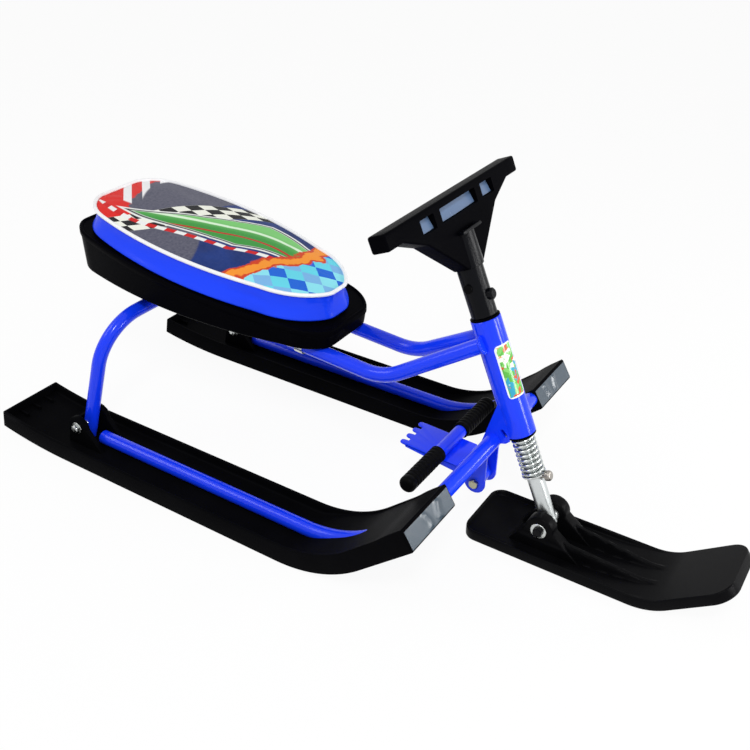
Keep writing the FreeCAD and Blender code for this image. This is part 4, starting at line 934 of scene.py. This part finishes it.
def makeFrontSki(k):
    # Sections of keel, left wall, height field and right wall along the line, and the two cheeks.
    line, heading, length = frontSkiLine(k)
    bite = lambda away, radius: radius - np.sqrt(radius ** 2 - np.clip(radius - away, 0, radius) ** 2)
    half = k["half"] - bite(length, k["tailCorner"]) - bite(length[-1] - length, k["tipCorner"])
    half, ones, edge = half[:, None], np.ones((len(length), 1)), k["edge"]
    y = np.linspace(-1, 1, 121)[None] * (half - edge)
    top = frontSkiTop(k, length, half, y)
    bend = quarter(5)
    out, rise = edge - edge * np.cos(bend), edge * np.sin(bend)
    low = np.stack([-(half - out), ones * (edge - rise)], axis=-1)[:, -2::-1]
    high = np.stack([-(half - out), ones * (k["rim"] - edge + rise)], axis=-1)[:, :-1]
    keel = np.stack([np.linspace(1, -1, 9)[None] * (half - edge), np.zeros((len(length), 9))], axis=-1)
    leftSide = np.concatenate([low, high], axis=1)
    rightSide = leftSide[:, ::-1] * np.array([-1.0, 1.0])
    profile = np.concatenate([keel, leftSide, np.stack([y, top], axis=-1), rightSide], axis=1)
    shells = [gridShell(carried(line, heading, profile * np.array([-1.0, 1.0]), upSled))]
    pivotX, foot = k["pivot"][0], k["base"] - k["sunk"]
    crown = np.array(k["pivot"]) + k["cheekRadius"] * halfRing(17)
    cheek = np.concatenate([[(pivotX - k["cheekBack"], foot)], crown, [(pivotX + k["cheekFront"], foot)]])
    shells += bothSides(cheek, k["cheekInner"], k["cheekOuter"], k["cheekEdge"])
    return putPiece("frontSki", joinShells(*shells), frontPlastic, "front_ski", ["front_ski"],
                    sharp=50)


makeRearSki(rearSki, frameTubes, 1, "rearSkiLeft", "rear_ski_left")
makeRearSki(rearSki, frameTubes, -1, "rearSkiRight", "rear_ski_right")
makeTipFace(rearSki, tipFace, frameTubes, 1, "tipFaceLeft")
makeTipFace(rearSki, tipFace, frameTubes, -1, "tipFaceRight")
makeFrontSki(frontSki)
print("skis made")

# steering: heights are counted along the head axis from the head tube's lower end

steering = {
    "column": 12.0, "columnFoot": -139.0, "columnTop": 269.6, "columnEdge": 1.0,
    "columnEnd": ((0.0, -11.5), (7.0, -11.0), (12.0, -6.0)),      # radius and height over the foot
    "barrelHalf": 12.0, "barrelEdge": 1.2,
    "flange": 20.5, "flangeThick": 3.0, "flangeGap": 0.3, "flangeEdge": 0.6, "flangeRound": 1.0,
    "spigot": 17.8, "bushInside": 20.0, "bushPlay": 0.1,
    "springOuter": 17.0, "springWire": 2.0, "springTop": -3.3, "springFoot": -63.3, "springTurns": 8.5,
    "springEase": 0.9, "springLeast": 0.06, "springStart": 0.6, "springSunk": 0.75, "springFlat": 0.05,
    "ringOuter": 17.5, "ringTop": -63.6, "ringFoot": -66.1, "ringBore": 12.05, "ringEdge": 0.5,
    "stopHeight": -69.2, "stopReach": 18.0, "stopHead": 7.5, "stopThick": 8.0, "stopDome": 3.5,
    "stopRadius": 3.0, "stopFlat": 0.9, "stopEdges": (0.4, 0.3),
}
yoke = {
    "foot": 177.6, "halfSpan": 170.0, "height": 170.0, "depth": 26.0, "edge": 2.8,
    "lowLine": ((20.0, 70.0), (90.0, 128.0), (137.0, 148.0), (170.0, 148.0)),      # lower edge: across, height
    "pocketFoot": 142.0, "pocketTop": 160.0, "pocketDeep": 16.0,
    "pockets": ((-94.0, -62.0), (-46.0, 46.0), (62.0, 94.0)), "pocketStep": 0.8, "pocketEdge": 0.5,
    "columns": (-150.0, 150.0, 21), "rows": (80.0, 140.0, 9), "pocketRows": (6.0, 12.0), "topRow": 4.0,
    "sheetGap": 0.6, "sheetRise": 7.0, "sheetLean": 4.0, "sheetSwell": 1.2, "sheetSunk": 0.5,
    "neckHeight": 70.0, "sleeve": 18.0, "collar": 20.0, "collarTop": 121.0, "bore": 12.1,
    "sleeveEdge": 1.0, "collarEdge": 1.5, "collarFlare": (0.3, 0.6), "flareHigh": 2.0,
    "shelfOver": 4.0, "shelfThick": 4.0, "shelfRound": 1.2, "shelfSunk": 2.0, "shelfReach": 2.5,
    "shelfEdge": 0.9, "bossHeight": 28.0, "bossRadius": 8.0, "bossReach": 24.0, "bossEdge": 2.0,
}


def makeColumn(k):
    # A straight bar about the head axis, ending in a cross barrel at the ski's pivot.
    radius, foot, top, edge = k["column"], k["columnFoot"], k["columnTop"], k["columnEdge"]
    profile = [(across, foot + height) for across, height in k["columnEnd"]]
    profile += [(radius, foot / 2), (radius, 0), (radius, top - edge), (radius - edge, top), (0, top)]
    half, bevel = k["barrelHalf"], k["barrelEdge"]
    barrel = rodProfile(0, radius, -half, half, bevel, bevel)
    shells = [turned(profile, headFoot, headUp), turned(barrel, headPoint(foot), acrossSled)]
    return putPiece("steeringColumn", joinShells(*shells), satinSteel, "column", ["column"])


def makeBush(k, name, node, foot, way):
    # A flange disc with a rounded rim and a spigot that goes into the head tube.
    inner, outer, edge, rounding = k["column"] + k["bushPlay"], k["flange"], k["flangeEdge"], k["flangeRound"]
    start, end = foot + way * k["flangeGap"], foot + way * (k["flangeGap"] + k["flangeThick"])
    inside = foot - way * k["bushInside"]
    profile = [(inner, inside), (k["spigot"], inside), (k["spigot"], start), (outer - edge, start),
               (outer, start + way * edge), (outer, end - way * rounding), (outer - rounding, end),
               (inner, end)]
    return putPiece(name, turned(profile, headFoot, headUp, 56), mouldedPlastic, "steering", [node])


def makeSpring(k):
    # A round wire on a helix whose climb eases to flat over its first and last turn; flat ends.
    wire, turns, foot, top = k["springWire"], k["springTurns"], k["springFoot"], k["springTop"]
    radius = k["springOuter"] - wire
    share = np.linspace(0, 1, 560)
    ease = lambda part: smooth(part * turns / k["springEase"])
    rate = k["springLeast"] + ease(share) * ease(1 - share)
    climb = np.concatenate([[0], np.cumsum((rate[1:] + rate[:-1]) / 2)])
    low, high = foot + wire * k["springSunk"], top - wire * k["springSunk"]
    height = low + (high - low) * climb / climb[-1]
    angle = share * turns * 2 * math.pi + k["springStart"]
    line = onHead(np.stack([radius * np.cos(angle), radius * np.sin(angle), height], axis=-1))
    heading = unit(np.gradient(line, axis=0))
    outward = np.cos(angle)[:, None] * headAhead + np.sin(angle)[:, None] * acrossSled
    grid = carried(line, heading, ringProfile(wire, 12), outward)
    level = (grid - headFoot) @ headUp
    cut = np.clip(level, foot + k["springFlat"], top - k["springFlat"]) - level
    piece = putPiece("frontSpring", gridShell(grid + cut[..., None] * headUp), polishedSteel, "steering",
                     ["front_spring"])
    anchor = (headPoint(k["springTop"]) - layoutMiddle) / 1000
    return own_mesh(piece)


def makeSpringSeat(k):
    # A ring under the spring, with small chamfers.
    edge = k["ringEdge"]
    profile = rodProfile(k["ringBore"], k["ringOuter"], k["ringFoot"], k["ringTop"], edge, edge)
    shell = turned(profile, headFoot, headUp, 56)
    return putPiece("springSeat", shell, zincSteel, "column", ["spring_seat"])


def makeStopBolt(k):
    # A pin through the column with a domed head in front.
    reach, end, head, dome = k["stopReach"], k["stopReach"] + k["stopThick"], k["stopHead"], k["stopDome"]
    radius, (tipEdge, headEdge) = k["stopRadius"], k["stopEdges"]
    rounding = np.stack([head - dome + dome * np.cos(quarter(7)),
                         end - dome + dome * np.sin(quarter(7))], axis=-1)
    profile = [(0, -reach), (radius - tipEdge, -reach), (radius, -reach + tipEdge), (radius, reach),
               (head - headEdge, reach), (head, reach + headEdge), *rounding, (k["stopFlat"], end), (0, end)]
    shell = turned(profile, headPoint(k["stopHeight"]), headAhead, 40)
    return putPiece("stopBolt", shell, dullSteel, "column", ["stop_bolt"])


def onYoke(points):
    # (across, height over the yoke's foot, ahead) to the layout.
    return onHead(np.stack([points[..., 2], points[..., 0], points[..., 1] + yoke["foot"]], axis=-1))


def makeYoke(k):
    # Closed sections side by side: up the front, sunk where a pocket is, round the top, back and foot.
    half, high, front, edge = k["halfSpan"], k["height"], k["depth"] / 2, k["edge"]
    sine, cosine = np.sin(quarter(5)), np.cos(quarter(5))
    walls = np.add.outer(k["pockets"], [-k["pocketStep"] / 2, k["pocketStep"] / 2]).ravel()
    knees = np.array([side * across for across, height in k["lowLine"][:-1] for side in (-1, 1)])
    tips = np.concatenate([-half + edge * (1 - cosine), half - edge * (1 - cosine)])
    across = np.unique(np.concatenate([walls, knees, tips, np.linspace(*k["columns"])]))
    inset = np.interp(half - abs(across), edge * (1 - cosine), edge * (1 - sine))
    low = np.interp(abs(across), *np.array(k["lowLine"]).T) + inset
    rim = k["pocketEdge"]
    levels = np.concatenate([np.linspace(*k["rows"]),
                             k["pocketFoot"] + np.array([-rim, rim, *k["pocketRows"]]),
                             k["pocketTop"] + np.array([-rim, rim, k["topRow"]])])
    sunk = np.any([(across > start) & (across < end) for start, end in k["pockets"]], axis=0)[:, None]
    sunk = sunk & ((levels > k["pocketFoot"]) & (levels < k["pocketTop"]))[None]
    lowEdge, highEdge = low[:, None] + edge, (high - inset)[:, None] - edge
    face = (front - inset)[:, None] - edge
    rows = [(face + edge * sine, lowEdge - edge * cosine),
            (np.where(sunk, front - k["pocketDeep"], face + edge), np.clip(levels[None], lowEdge, highEdge)),
            (face + edge * cosine, highEdge + edge * sine),
            (-face - edge * sine, highEdge + edge * cosine),
            (-face - edge * cosine, lowEdge - edge * sine)]
    ahead, height = [np.concatenate(row, axis=1) for row in zip(*rows)]
    grid = np.stack([np.broadcast_to(across[:, None], ahead.shape), height, ahead], axis=-1)
    return putPiece("steeringYoke", gridShell(onYoke(grid)), mouldedPlastic, "column", ["steering_wheel"])


def makeSleeve(k):
    # The turned sleeve and collar round the column, the shelf over the collar and the screw's boss.
    foot, collar, edge, rounding = k["foot"], k["collar"], k["sleeveEdge"], k["collarEdge"]
    neck, top = foot + k["neckHeight"], foot + k["collarTop"]
    flare, flareMost = k["collarFlare"]
    profile = [(k["bore"], foot), (k["sleeve"] - edge, foot), (k["sleeve"], foot + edge),
               (k["sleeve"], neck - edge), (collar + flare, neck), (collar + flareMost, neck + k["flareHigh"]),
               (collar, top - rounding), (collar - rounding, top), (0, top)]
    wide, high = collar + k["shelfOver"], k["collarTop"]
    low = high - k["shelfThick"]
    shelf = roundedOutline([(-wide, low), (wide, low), (wide, high), (-wide, high)], k["shelfRound"])
    shelfBack, shelfFront = k["depth"] / 2 - k["shelfSunk"], collar + k["shelfReach"]
    boss = rodProfile(0, k["bossRadius"], 0, k["bossReach"], highEdge=k["bossEdge"])
    shells = [turned(profile, headFoot, headUp, 56),
              plateShell(shelf, shelfBack, shelfFront, k["shelfEdge"], onYoke),
              turned(boss, headPoint(foot + k["bossHeight"]), headAhead, 36)]
    return putPiece("yokeSleeve", joinShells(*shells), sleeveGloss, "column")


def makePocketFaces(k):
    # Smooth sheets on the pockets' floors, leaning back towards their tops, with a soft swell across; their
    # pale blue is painted light, where light falls into the black pockets.
    shells = []
    share, up = np.meshgrid(np.linspace(0, 1, 9), np.linspace(0, 1, 5))
    gap, floor = k["sheetGap"], k["depth"] / 2 - k["pocketDeep"]
    rise = k["sheetRise"] + k["sheetLean"] * (1 - up) + k["sheetSwell"] * np.sin(math.pi * share)
    height = k["pocketFoot"] + gap + (k["pocketTop"] - k["pocketFoot"] - 2 * gap) * up
    for start, end in k["pockets"]:
        across = start + gap + (end - start - 2 * gap) * share
        sheet = np.stack([across, height, floor + rise], axis=-1)
        back = np.stack([across, height, np.full_like(rise, floor - k["sheetSunk"])], axis=-1)
        shells.append(gridShell(onYoke(np.concatenate([sheet, back[:, ::-1]], axis=1))))
    return putPiece("yokePockets", joinShells(*shells), pocketPaintedLight, "column", sharp=60)


makeColumn(steering)
makeBush(steering, "lowerBush", "lower_bush", 0.0, -1)
makeBush(steering, "upperBush", "upper_bush", headTube["length"], 1)
makeSpring(steering)
makeSpringSeat(steering)
makeStopBolt(steering)
makeYoke(yoke)
makeSleeve(yoke)
makePocketFaces(yoke)
paintNode("wheel_screw", gripRubber)
print("steering made")

# brake

brake = {
    "pivot": (754.0, 70.0), "rise": 28.0, "slope": 2.6, "half": 32.0, "neck": 24.0, "length": 121.0,
    "tooth": 10.0, "teeth": 4, "toothHalf": 5.5, "sheet": 2.5, "sheetEdge": 0.6,
    "flange": 12.0, "flangeSunk": 0.4, "flangeEnd": 5.0, "flangeRounds": (1, 1, 2, 4),
    "tongue": 15.5, "tongueOver": 4.0, "tongueHalf": 9.9, "tongueEdge": 0.8,
    "barrel": 10.0, "barrelEdge": 0.6, "bore": 4.1,
    "barBack": 54.0, "barRadius": 10.0, "barEnd": 113.5,
    "gripStart": 33.5, "gripEnd": 126.0, "gripRadius": 12.5, "gripBore": 0.05, "gripEdge": 1.0,
    "gripRound": 6.0, "ribs": 10, "ribShare": 0.86, "ribGap": 2.0, "groove": 1.2, "ribShape": (0.5, 0.9),
}


def onBrake(points):
    # (back from the pivot, across, over the plate's top) to the layout.
    back, across, over = points[..., 0], points[..., 1], points[..., 2]
    top = brake["pivot"][1] + brake["rise"] + back * tangent(brake["slope"])
    return np.stack([brake["pivot"][0] - back, across, top + over], axis=-1)


def makeBrakePlate(k):
    # The claw edge is root + tooth x fourth-power lobes across; side flanges hang from the plate.
    half, neck, sheet, (pivotX, pivotZ) = k["half"], k["neck"], k["sheet"], k["pivot"]
    root = k["length"] - k["tooth"]
    across = np.linspace(-half, half, 129)
    centers = np.linspace(-half + k["toothHalf"], half - k["toothHalf"], k["teeth"])
    away = np.min(abs(across[:, None] - centers[None]), axis=1) / k["toothHalf"]
    lobe = np.sqrt(np.clip(1 - away ** 4, 0, 1))
    claw = np.stack([root + k["tooth"] * lobe, across], axis=-1)
    outline = np.concatenate([claw, [(neck, half), (neck, -half)]])
    under = lambda back, drop: tuple(onBrake(np.array([back, 0.0, -drop]))[[0, 2]])
    flange = roundedOutline([under(neck, k["flangeSunk"]), under(root, k["flangeSunk"]),
                             under(root, k["flangeEnd"]), under(neck, k["flange"])], k["flangeRounds"])
    over = neck + k["tongueOver"]
    tongue = np.array([under(over, 0), under(0, sheet), (pivotX + k["tongueHalf"], pivotZ),
                       (pivotX - k["tongueHalf"], pivotZ), under(over, k["flange"])])
    barrel = rodProfile(k["bore"], k["barrel"], -k["tongue"], k["tongue"], k["barrelEdge"], k["barrelEdge"])
    shells = [plateShell(outline, -sheet, 0.0, k["sheetEdge"], onBrake),
              *bothSides(flange, half - sheet, half, k["sheetEdge"]),
              plateShell(tongue, -k["tongue"], k["tongue"], k["tongueEdge"], sideways),
              turned(barrel, (pivotX, 0.0, pivotZ), acrossSled, 40)]
    return putPiece("brakePlate", joinShells(*shells), bluePaint, "brake", ["brake_plate"])


def barMiddle(k):
    # The foot bar's axis over the sled's middle; the bar lies on the plate.
    return onBrake(np.array([k["barBack"], 0.0, k["barRadius"]]))


def makeFootBar(k):
    shell = turned(rodProfile(0, k["barRadius"], -k["barEnd"], k["barEnd"]), barMiddle(k), acrossSled, 40)
    return putPiece("brakeFootBar", shell, bluePaint, "brake", ["brake_foot_bar"])


def makeGrip(k, side, name, node):
    # Radius = outer - groove x a flattened cosine of the rib number, then a collar and a rounded end.
    share = np.linspace(0, 1, 160)
    start, end, radius, rounding = k["gripStart"], k["gripEnd"], k["gripRadius"], k["gripRound"]
    length, gap, edge = (end - start) * k["ribShare"], k["ribGap"], k["gripEdge"]
    mean, swing = k["ribShape"]
    ripple = smooth(mean + swing * np.cos(share * k["ribs"] * 2 * math.pi))
    ribs = np.stack([radius - k["groove"] * ripple, start + gap + (length - gap) * share], axis=-1)
    cap = np.stack([radius - rounding + rounding * np.cos(quarter(9)),
                    end - rounding + rounding * np.sin(quarter(9))], axis=-1)
    profile = [(k["barRadius"] + k["gripBore"], start), (radius - edge, start), (radius, start + edge), *ribs,
               (radius, start + length + edge), *cap, (0, end)]
    shell = turned(profile, barMiddle(k), acrossSled, 44)
    return putPiece(name, onSide(shell, side), gripRubber, "brake", [node], sharp=60)


makeBrakePlate(brake)
makeFootBar(brake)
makeGrip(brake, 1, "brakeGripLeft", "brake_grip_left")
makeGrip(brake, -1, "brakeGripRight", "brake_grip_right")
print("brake made")

# bolts, nuts and washers

fasteners = {
    "head": 13.0, "headHigh": 5.5, "nutHigh": 6.5, "shank": 4.0, "shankPast": 1.8, "shankEdge": 0.8,
    "hexRings": ((0.985, 0.0), (1.0, 0.25), (1.0, -1.3)),       # share of the hexagon, height from foot or top
    "roundRings": ((0.46, -0.05), (0.30, 0.0)),                 # share of the width, height from the top
    "chamfer": (1.03, -0.55),
    "washer": 1.8, "washerBore": 4.1, "washerEdges": (0.3, 0.5),
    "earHalf": 19.5, "rearWasher": 10.0, "skiWasher": 12.0,
}


def hexShell(k, foot, axis, height):
    # Radius = half the width / cosine of the angle from the nearest flat, turned round over the chamfer.
    width, sixth = k["head"], math.pi / 3
    angle = np.linspace(0, 2 * math.pi, 60, endpoint=False)
    flat = width / 2 / np.cos((angle + sixth / 2) % sixth - sixth / 2)
    share, drop = k["chamfer"]
    rings = [(flat * size, level if level >= 0 else height + level) for size, level in k["hexRings"]]
    rings += [(np.minimum(flat, width / 2 * share), height + drop)]
    rings += [(np.full(60, width * size), height + level) for size, level in k["roundRings"]]
    spare = np.array([1.0, 0.0, 0.0])
    ring = np.cos(angle)[:, None] * spare + np.sin(angle)[:, None] * np.cross(axis, spare)
    grid = np.stack([radius[:, None] * ring + level * axis for radius, level in rings])
    return gridShell(np.array(foot) + grid)


def washerShell(k, foot, axis, outer):
    return turned(rodProfile(k["washerBore"], outer, 0, k["washer"], *k["washerEdges"]), foot, axis)


def shankShell(k, start, axis, length):
    # A plain rod with a chamfer at its far end.
    return turned(rodProfile(0, k["shank"], 0, length, highEdge=k["shankEdge"]), start, axis, 28)


def makeCrossBolt(k, name, place, way, faces, finishes, replaced, body, washer=0.0):
    # A bolt along Y: head outside the first face, nut outside the second, washers under both if it has them.
    (x, z), (headFace, nutFace), (headFinish, finish) = place, faces, finishes
    axis = acrossSled * way
    under = way * k["washer"] if washer else 0
    headSpot, nutSpot = (x, headFace - under, z), (x, nutFace + under, z)
    length = abs(nutSpot[1] - headSpot[1]) + k["nutHigh"] + k["shankPast"]
    bolt = joinShells(hexShell(k, headSpot, -axis, k["headHigh"]), shankShell(k, headSpot, axis, length))
    putPiece(name + "Bolt", bolt, headFinish, body, replaced[:1])
    putPiece(name + "Nut", hexShell(k, nutSpot, axis, k["nutHigh"]), finish, body, replaced[1:2])
    if washer:
        rings = joinShells(washerShell(k, (x, headFace, z), -axis, washer),
                           washerShell(k, (x, nutFace, z), axis, washer))
        putPiece(name + "Washers", rings, finish, body, replaced[2:3])


def makeFasteners(k, t, ski, front):
    # Bolts through the rear skis' cheeks, the gussets' ears and the front ski's cheeks.
    outer, inner = t["halfTrack"] + ski["cheekOuter"], t["halfTrack"] - ski["cheekOuter"]
    for name, side in (("rearLeft", 1), ("rearRight", -1)):
        makeCrossBolt(k, name, (t["boltX"], t["boltHeight"]), -side, (side * outer, side * inner),
                      (zincSteel, zincSteel), ["rear_ski_bolts", "rear_ski_nuts", "rear_ski_washers"], "frame",
                      k["rearWasher"])
    makeCrossBolt(k, "brakePivot", brake["pivot"], 1, (-k["earHalf"], k["earHalf"]), (yellowZinc, yellowZinc),
                  ["brake_bolt", "brake_nut"], "frame")
    makeCrossBolt(k, "skiPivot", front["pivot"], 1, (-front["cheekOuter"], front["cheekOuter"]),
                  (sleeveGloss, zincSteel), ["ski_pivot_bolt", "ski_pivot_nut", "ski_pivot_washers"],
                  "front_ski", k["skiWasher"])


makeFasteners(fasteners, frameTubes, rearSki, frontSki)
paintNode("tube_plugs", mouldedPlastic)
paintNode("seat_clips", zincSteel)
paintNode("seat_screws", zincSteel)
print("fasteners made")

# seat

seatTray = {
    "ends": (56.0, 523.0), "halves": (104.0, 118.0, 84.0), "flats": (70.0, 46.0), "runs": (44.0, 60.0),
    "wide": 250.0,
    "frontFoot": 230.5, "frontHigh": 30.0, "slope": 8.7, "footSlope": 3.9,
    "floorInset": 40.0, "lip": 5.0, "lipDrop": 2.2, "lipEdge": 2.2,
    "lipSteps": ((0.8, -0.5), (1.6, 0.0)),                           # out from the lip's inside, height
    "band": ((0.0, -9.0), (0.9, -9.8), (1.2, -11.0)),                # inset and height of the rim's foot
    "draft": 3.0, "footRound": 5.0,
}
cushion = {
    "ends": (65.0, 508.0), "halves": (99.0, 114.0, 88.0), "flats": (44.0, 20.0), "runs": (56.0, 90.0),
    "wide": 235.0,
    "footInset": 30.0, "footHigh": 0.1, "gap": 0.3, "seam": 0.6, "side": 33.0, "frontRise": 7.0,
    "drawnIn": 4.0, "topInset": 14.0, "endInset": 5.0, "crown": 8.0, "crownInset": 60.0, "middleShare": 0.98,
    "pressure": 4.0, "cap": 0.006, "blowing": 20, "markStep": 0.005, "markMost": 4,
    "piping": 3.0, "pipingRise": 0.6,
}
seatCorners = {"tail": 0.3, "front": 0.28}      # how far a corner's arc bulges towards its square corner
evening = np.array([1, 4, 6, 4, 1]) / 16        # weights of five neighbours on an outline


def seatPlane(x):
    k = seatTray
    return k["frontFoot"] + k["frontHigh"] + (k["ends"][1] - x) * tangent(k["slope"])


def trayFoot(x):
    k = seatTray
    return k["frontFoot"] + (k["ends"][1] - x) * tangent(k["footSlope"])


def arcThrough(first, middle, last, count):
    # The circle through three points: its centre is equally far from all three; points at even angles.
    points = np.array([first, middle, last], float)
    chords = 2 * (points[1:] - points[0])
    center = np.linalg.solve(chords, np.sum(points[1:] ** 2, axis=-1) - np.sum(points[0] ** 2))
    spokes = points - center
    start, through, stop = np.arctan2(spokes[:, 1], spokes[:, 0])
    full = 2 * math.pi
    way = 1 if (through - start) % full < (stop - start) % full else -1
    angle = start + way * (((stop - start) * way) % full) * np.linspace(0, 1, count)
    return center + np.linalg.norm(spokes[0]) * np.stack([np.cos(angle), np.sin(angle)], axis=-1)


def seatOutline(k, count=220):
    # Tail corner, long side and front corner as three arcs, mirrored, then spaced evenly along the line.
    (tailX, frontX), (tailHalf, wideHalf, frontHalf) = k["ends"], k["halves"]
    (tailFlat, frontFlat), (tailRun, frontRun) = k["flats"], k["runs"]
    tail, tailSide = np.array([tailX, tailFlat]), np.array([tailX + tailRun, tailHalf])
    frontSide, front = np.array([frontX - frontRun, frontHalf]), np.array([frontX, frontFlat])
    bulge = lambda a, b, corner, share: (a + b) / 2 + (np.array(corner) - (a + b) / 2) * share
    tailMiddle = bulge(tail, tailSide, (tailX, tailHalf), seatCorners["tail"])
    frontMiddle = bulge(frontSide, front, (frontX, frontHalf), seatCorners["front"])
    half = np.concatenate([arcThrough(tail, tailMiddle, tailSide, 30),
                           arcThrough(tailSide, (k["wide"], wideHalf), frontSide, 60)[1:],
                           arcThrough(frontSide, frontMiddle, front, 30)[1:]])
    ring = np.concatenate([half, half[::-1] * np.array([1.0, -1.0]), half[:1]])
    length = lengthAlong(ring)
    even = np.linspace(0, length[-1], count, endpoint=False)
    ring = np.stack([np.interp(even, length, ring[:, axis]) for axis in (0, 1)], axis=-1)
    near = np.stack([np.roll(ring, shift, axis=0) for shift in (-2, -1, 0, 1, 2)])
    return np.einsum("s,sij->ij", evening, near)


def seatRing(k, outline, endInset, sideInset):
    # The outline drawn towards its middle, by one inset at its ends and another at its widest place.
    middle = sum(k["ends"]) / 2
    lengthShare = 1 - 2 * endInset / (k["ends"][1] - k["ends"][0])
    widthShare = 1 - sideInset / k["halves"][1]
    return np.stack([middle + (outline[:, 0] - middle) * lengthShare, outline[:, 1] * widthShare], axis=-1)


def makeTray(k):
    # Rings from the lip's inside over its edge, down the drafted wall and under to the floor.
    outline = seatOutline(k)
    lip, drop, edge, draft, rounding = k["lip"], k["lipDrop"], k["lipEdge"], k["draft"], k["footRound"]
    over = [(lip + k["floorInset"], -drop), (lip, -drop)] + [(lip - out, high) for out, high in k["lipSteps"]]
    over += [(edge * (1 - math.sin(b)), -edge * (1 - math.cos(b))) for b in quarter(6)]
    over += k["band"]
    under = [(draft + rounding * (1 - math.cos(b)), rounding * (1 - math.sin(b))) for b in quarter(6)]
    under += [(draft + k["floorInset"], 0.0)]
    rings = []
    for base, levels in ((seatPlane, over), (trayFoot, under)):
        for inset, height in levels:
            plan = seatRing(k, outline, inset, inset)
            rings.append(np.column_stack([plan, base(plan[:, 0]) + height]))
    return putPiece("seatTray", gridShell(np.stack(rings)), mouldedPlastic, "frame", ["seat_tray"],
                    sharp=50)


def cushionRing(k, outline, endInset, sideInset, height, riseShare=1.0):
    # A ring of the cushion at a height over the seat plane, which rises a little more to the front.
    plan = seatRing(k, outline, endInset, sideInset)
    ahead = (plan[:, 0] - k["ends"][0]) / (k["ends"][1] - k["ends"][0])
    level = seatPlane(plan[:, 0]) + k["gap"] + height + ahead * k["frontRise"] * riseShare
    return np.column_stack([plan, level])


def makeCushion(k):
    # Rings up the drawn-in side, over the piped edge to the middle; blown up as cloth, then capped.
    outline = seatOutline(k)
    edgeInsets = np.array([k["endInset"], k["topInset"]])
    crownInsets = edgeInsets + k["crownInset"]
    middleInsets = np.array([(k["ends"][1] - k["ends"][0]) / 2, k["halves"][1]])
    rings = [cushionRing(k, outline, k["footInset"], k["footInset"], k["footHigh"], 0.0)]
    for s in np.linspace(0, 1, 11):
        pull = k["seam"] + k["drawnIn"] * math.sin(math.pi * s)
        rings.append(cushionRing(k, outline, *(pull + edgeInsets * s), k["side"] * s, s))
    firstTop = len(rings)
    for s in np.linspace(0, 1, 12)[1:]:
        rings.append(cushionRing(k, outline, *(edgeInsets + k["crownInset"] * s),
                                 k["side"] + k["crown"] * (1 - (1 - s) ** 2)))
    for s in np.linspace(0, 1, 11)[1:]:
        insets = crownInsets + (middleInsets - crownInsets) * k["middleShare"] * s
        rings.append(cushionRing(k, outline, *insets, k["side"] + k["crown"]))
    grid = np.stack(rings)
    piece = putPiece("seatCushion", gridShell(grid), seatCover, "frame", ["seat_cushion"])
    swell(piece, k, grid.shape[:2], firstTop)
    away = np.minimum(np.arange(len(grid)) - firstTop + 1, k["markMost"]) * k["markStep"]
    markPoints(piece, "rimAway", np.repeat(away, grid.shape[1]))
    soft = piece.modifiers.new("smoothing", "SUBSURF")
    soft.levels = soft.render_levels = 1
    piece.data.shade_smooth()
    return piece


def swell(piece, k, shape, firstTop):
    # Cloth under pressure: the piped ring and the foot are held, the rest moves out, up to the cap.
    rest = pointPlaces(piece.data)
    ring = np.arange(shape[0])
    held = np.repeat((ring <= 1) | (ring == firstTop - 1), shape[1])
    group = piece.vertex_groups.new(name="held")
    group.add(np.nonzero(held)[0].tolist(), 1.0, "REPLACE")
    cloth = piece.modifiers.new("swell", "CLOTH")
    cloth.settings.quality = 5
    cloth.settings.mass = 0.15
    cloth.settings.tension_stiffness = 18
    cloth.settings.compression_stiffness = 18
    cloth.settings.bending_stiffness = 0.6
    cloth.settings.use_pressure = True
    cloth.settings.uniform_pressure_force = k["pressure"]
    cloth.settings.vertex_group_mass = "held"
    cloth.settings.effector_weights.gravity = 0
    cloth.collision_settings.use_collision = False
    cloth.point_cache.frame_start, cloth.point_cache.frame_end = 1, k["blowing"]
    for step in range(1, k["blowing"] + 1):
        bpy.context.scene.frame_set(step)
    blown = bpy.data.meshes.new_from_object(piece.evaluated_get(bpy.context.evaluated_depsgraph_get()))
    shift = pointPlaces(blown) - rest
    size = np.linalg.norm(shift, axis=-1, keepdims=True)
    print("cushion swells by %.1f mm on average, %.1f mm at most" % (size.mean() * 1000, size.max() * 1000))
    shift = shift * np.minimum(1, k["cap"] / np.maximum(size, meeting)) * ~held[:, None]
    piece.modifiers.remove(cloth)
    bpy.context.scene.frame_set(1)
    bpy.data.meshes.remove(blown)
    piece.data.vertices.foreach_set("co", (rest + shift).ravel())
    piece.data.update()


def makePiping(k):
    # A round cord along the cushion's top edge.
    line = cushionRing(k, seatOutline(k), k["endInset"], k["topInset"], k["side"] + k["pipingRise"])
    heading = unit(np.roll(line, -1, axis=0) - np.roll(line, 1, axis=0))
    grid = carried(line, heading, ringProfile(k["piping"], 14), upSled)
    return putPiece("seatPiping", gridShell(grid, loopAlong=True), pipingVinyl, "frame",
                    sharp=60)


makeTray(seatTray)
makeCushion(cushion)
makePiping(cushion)
print("seat made")
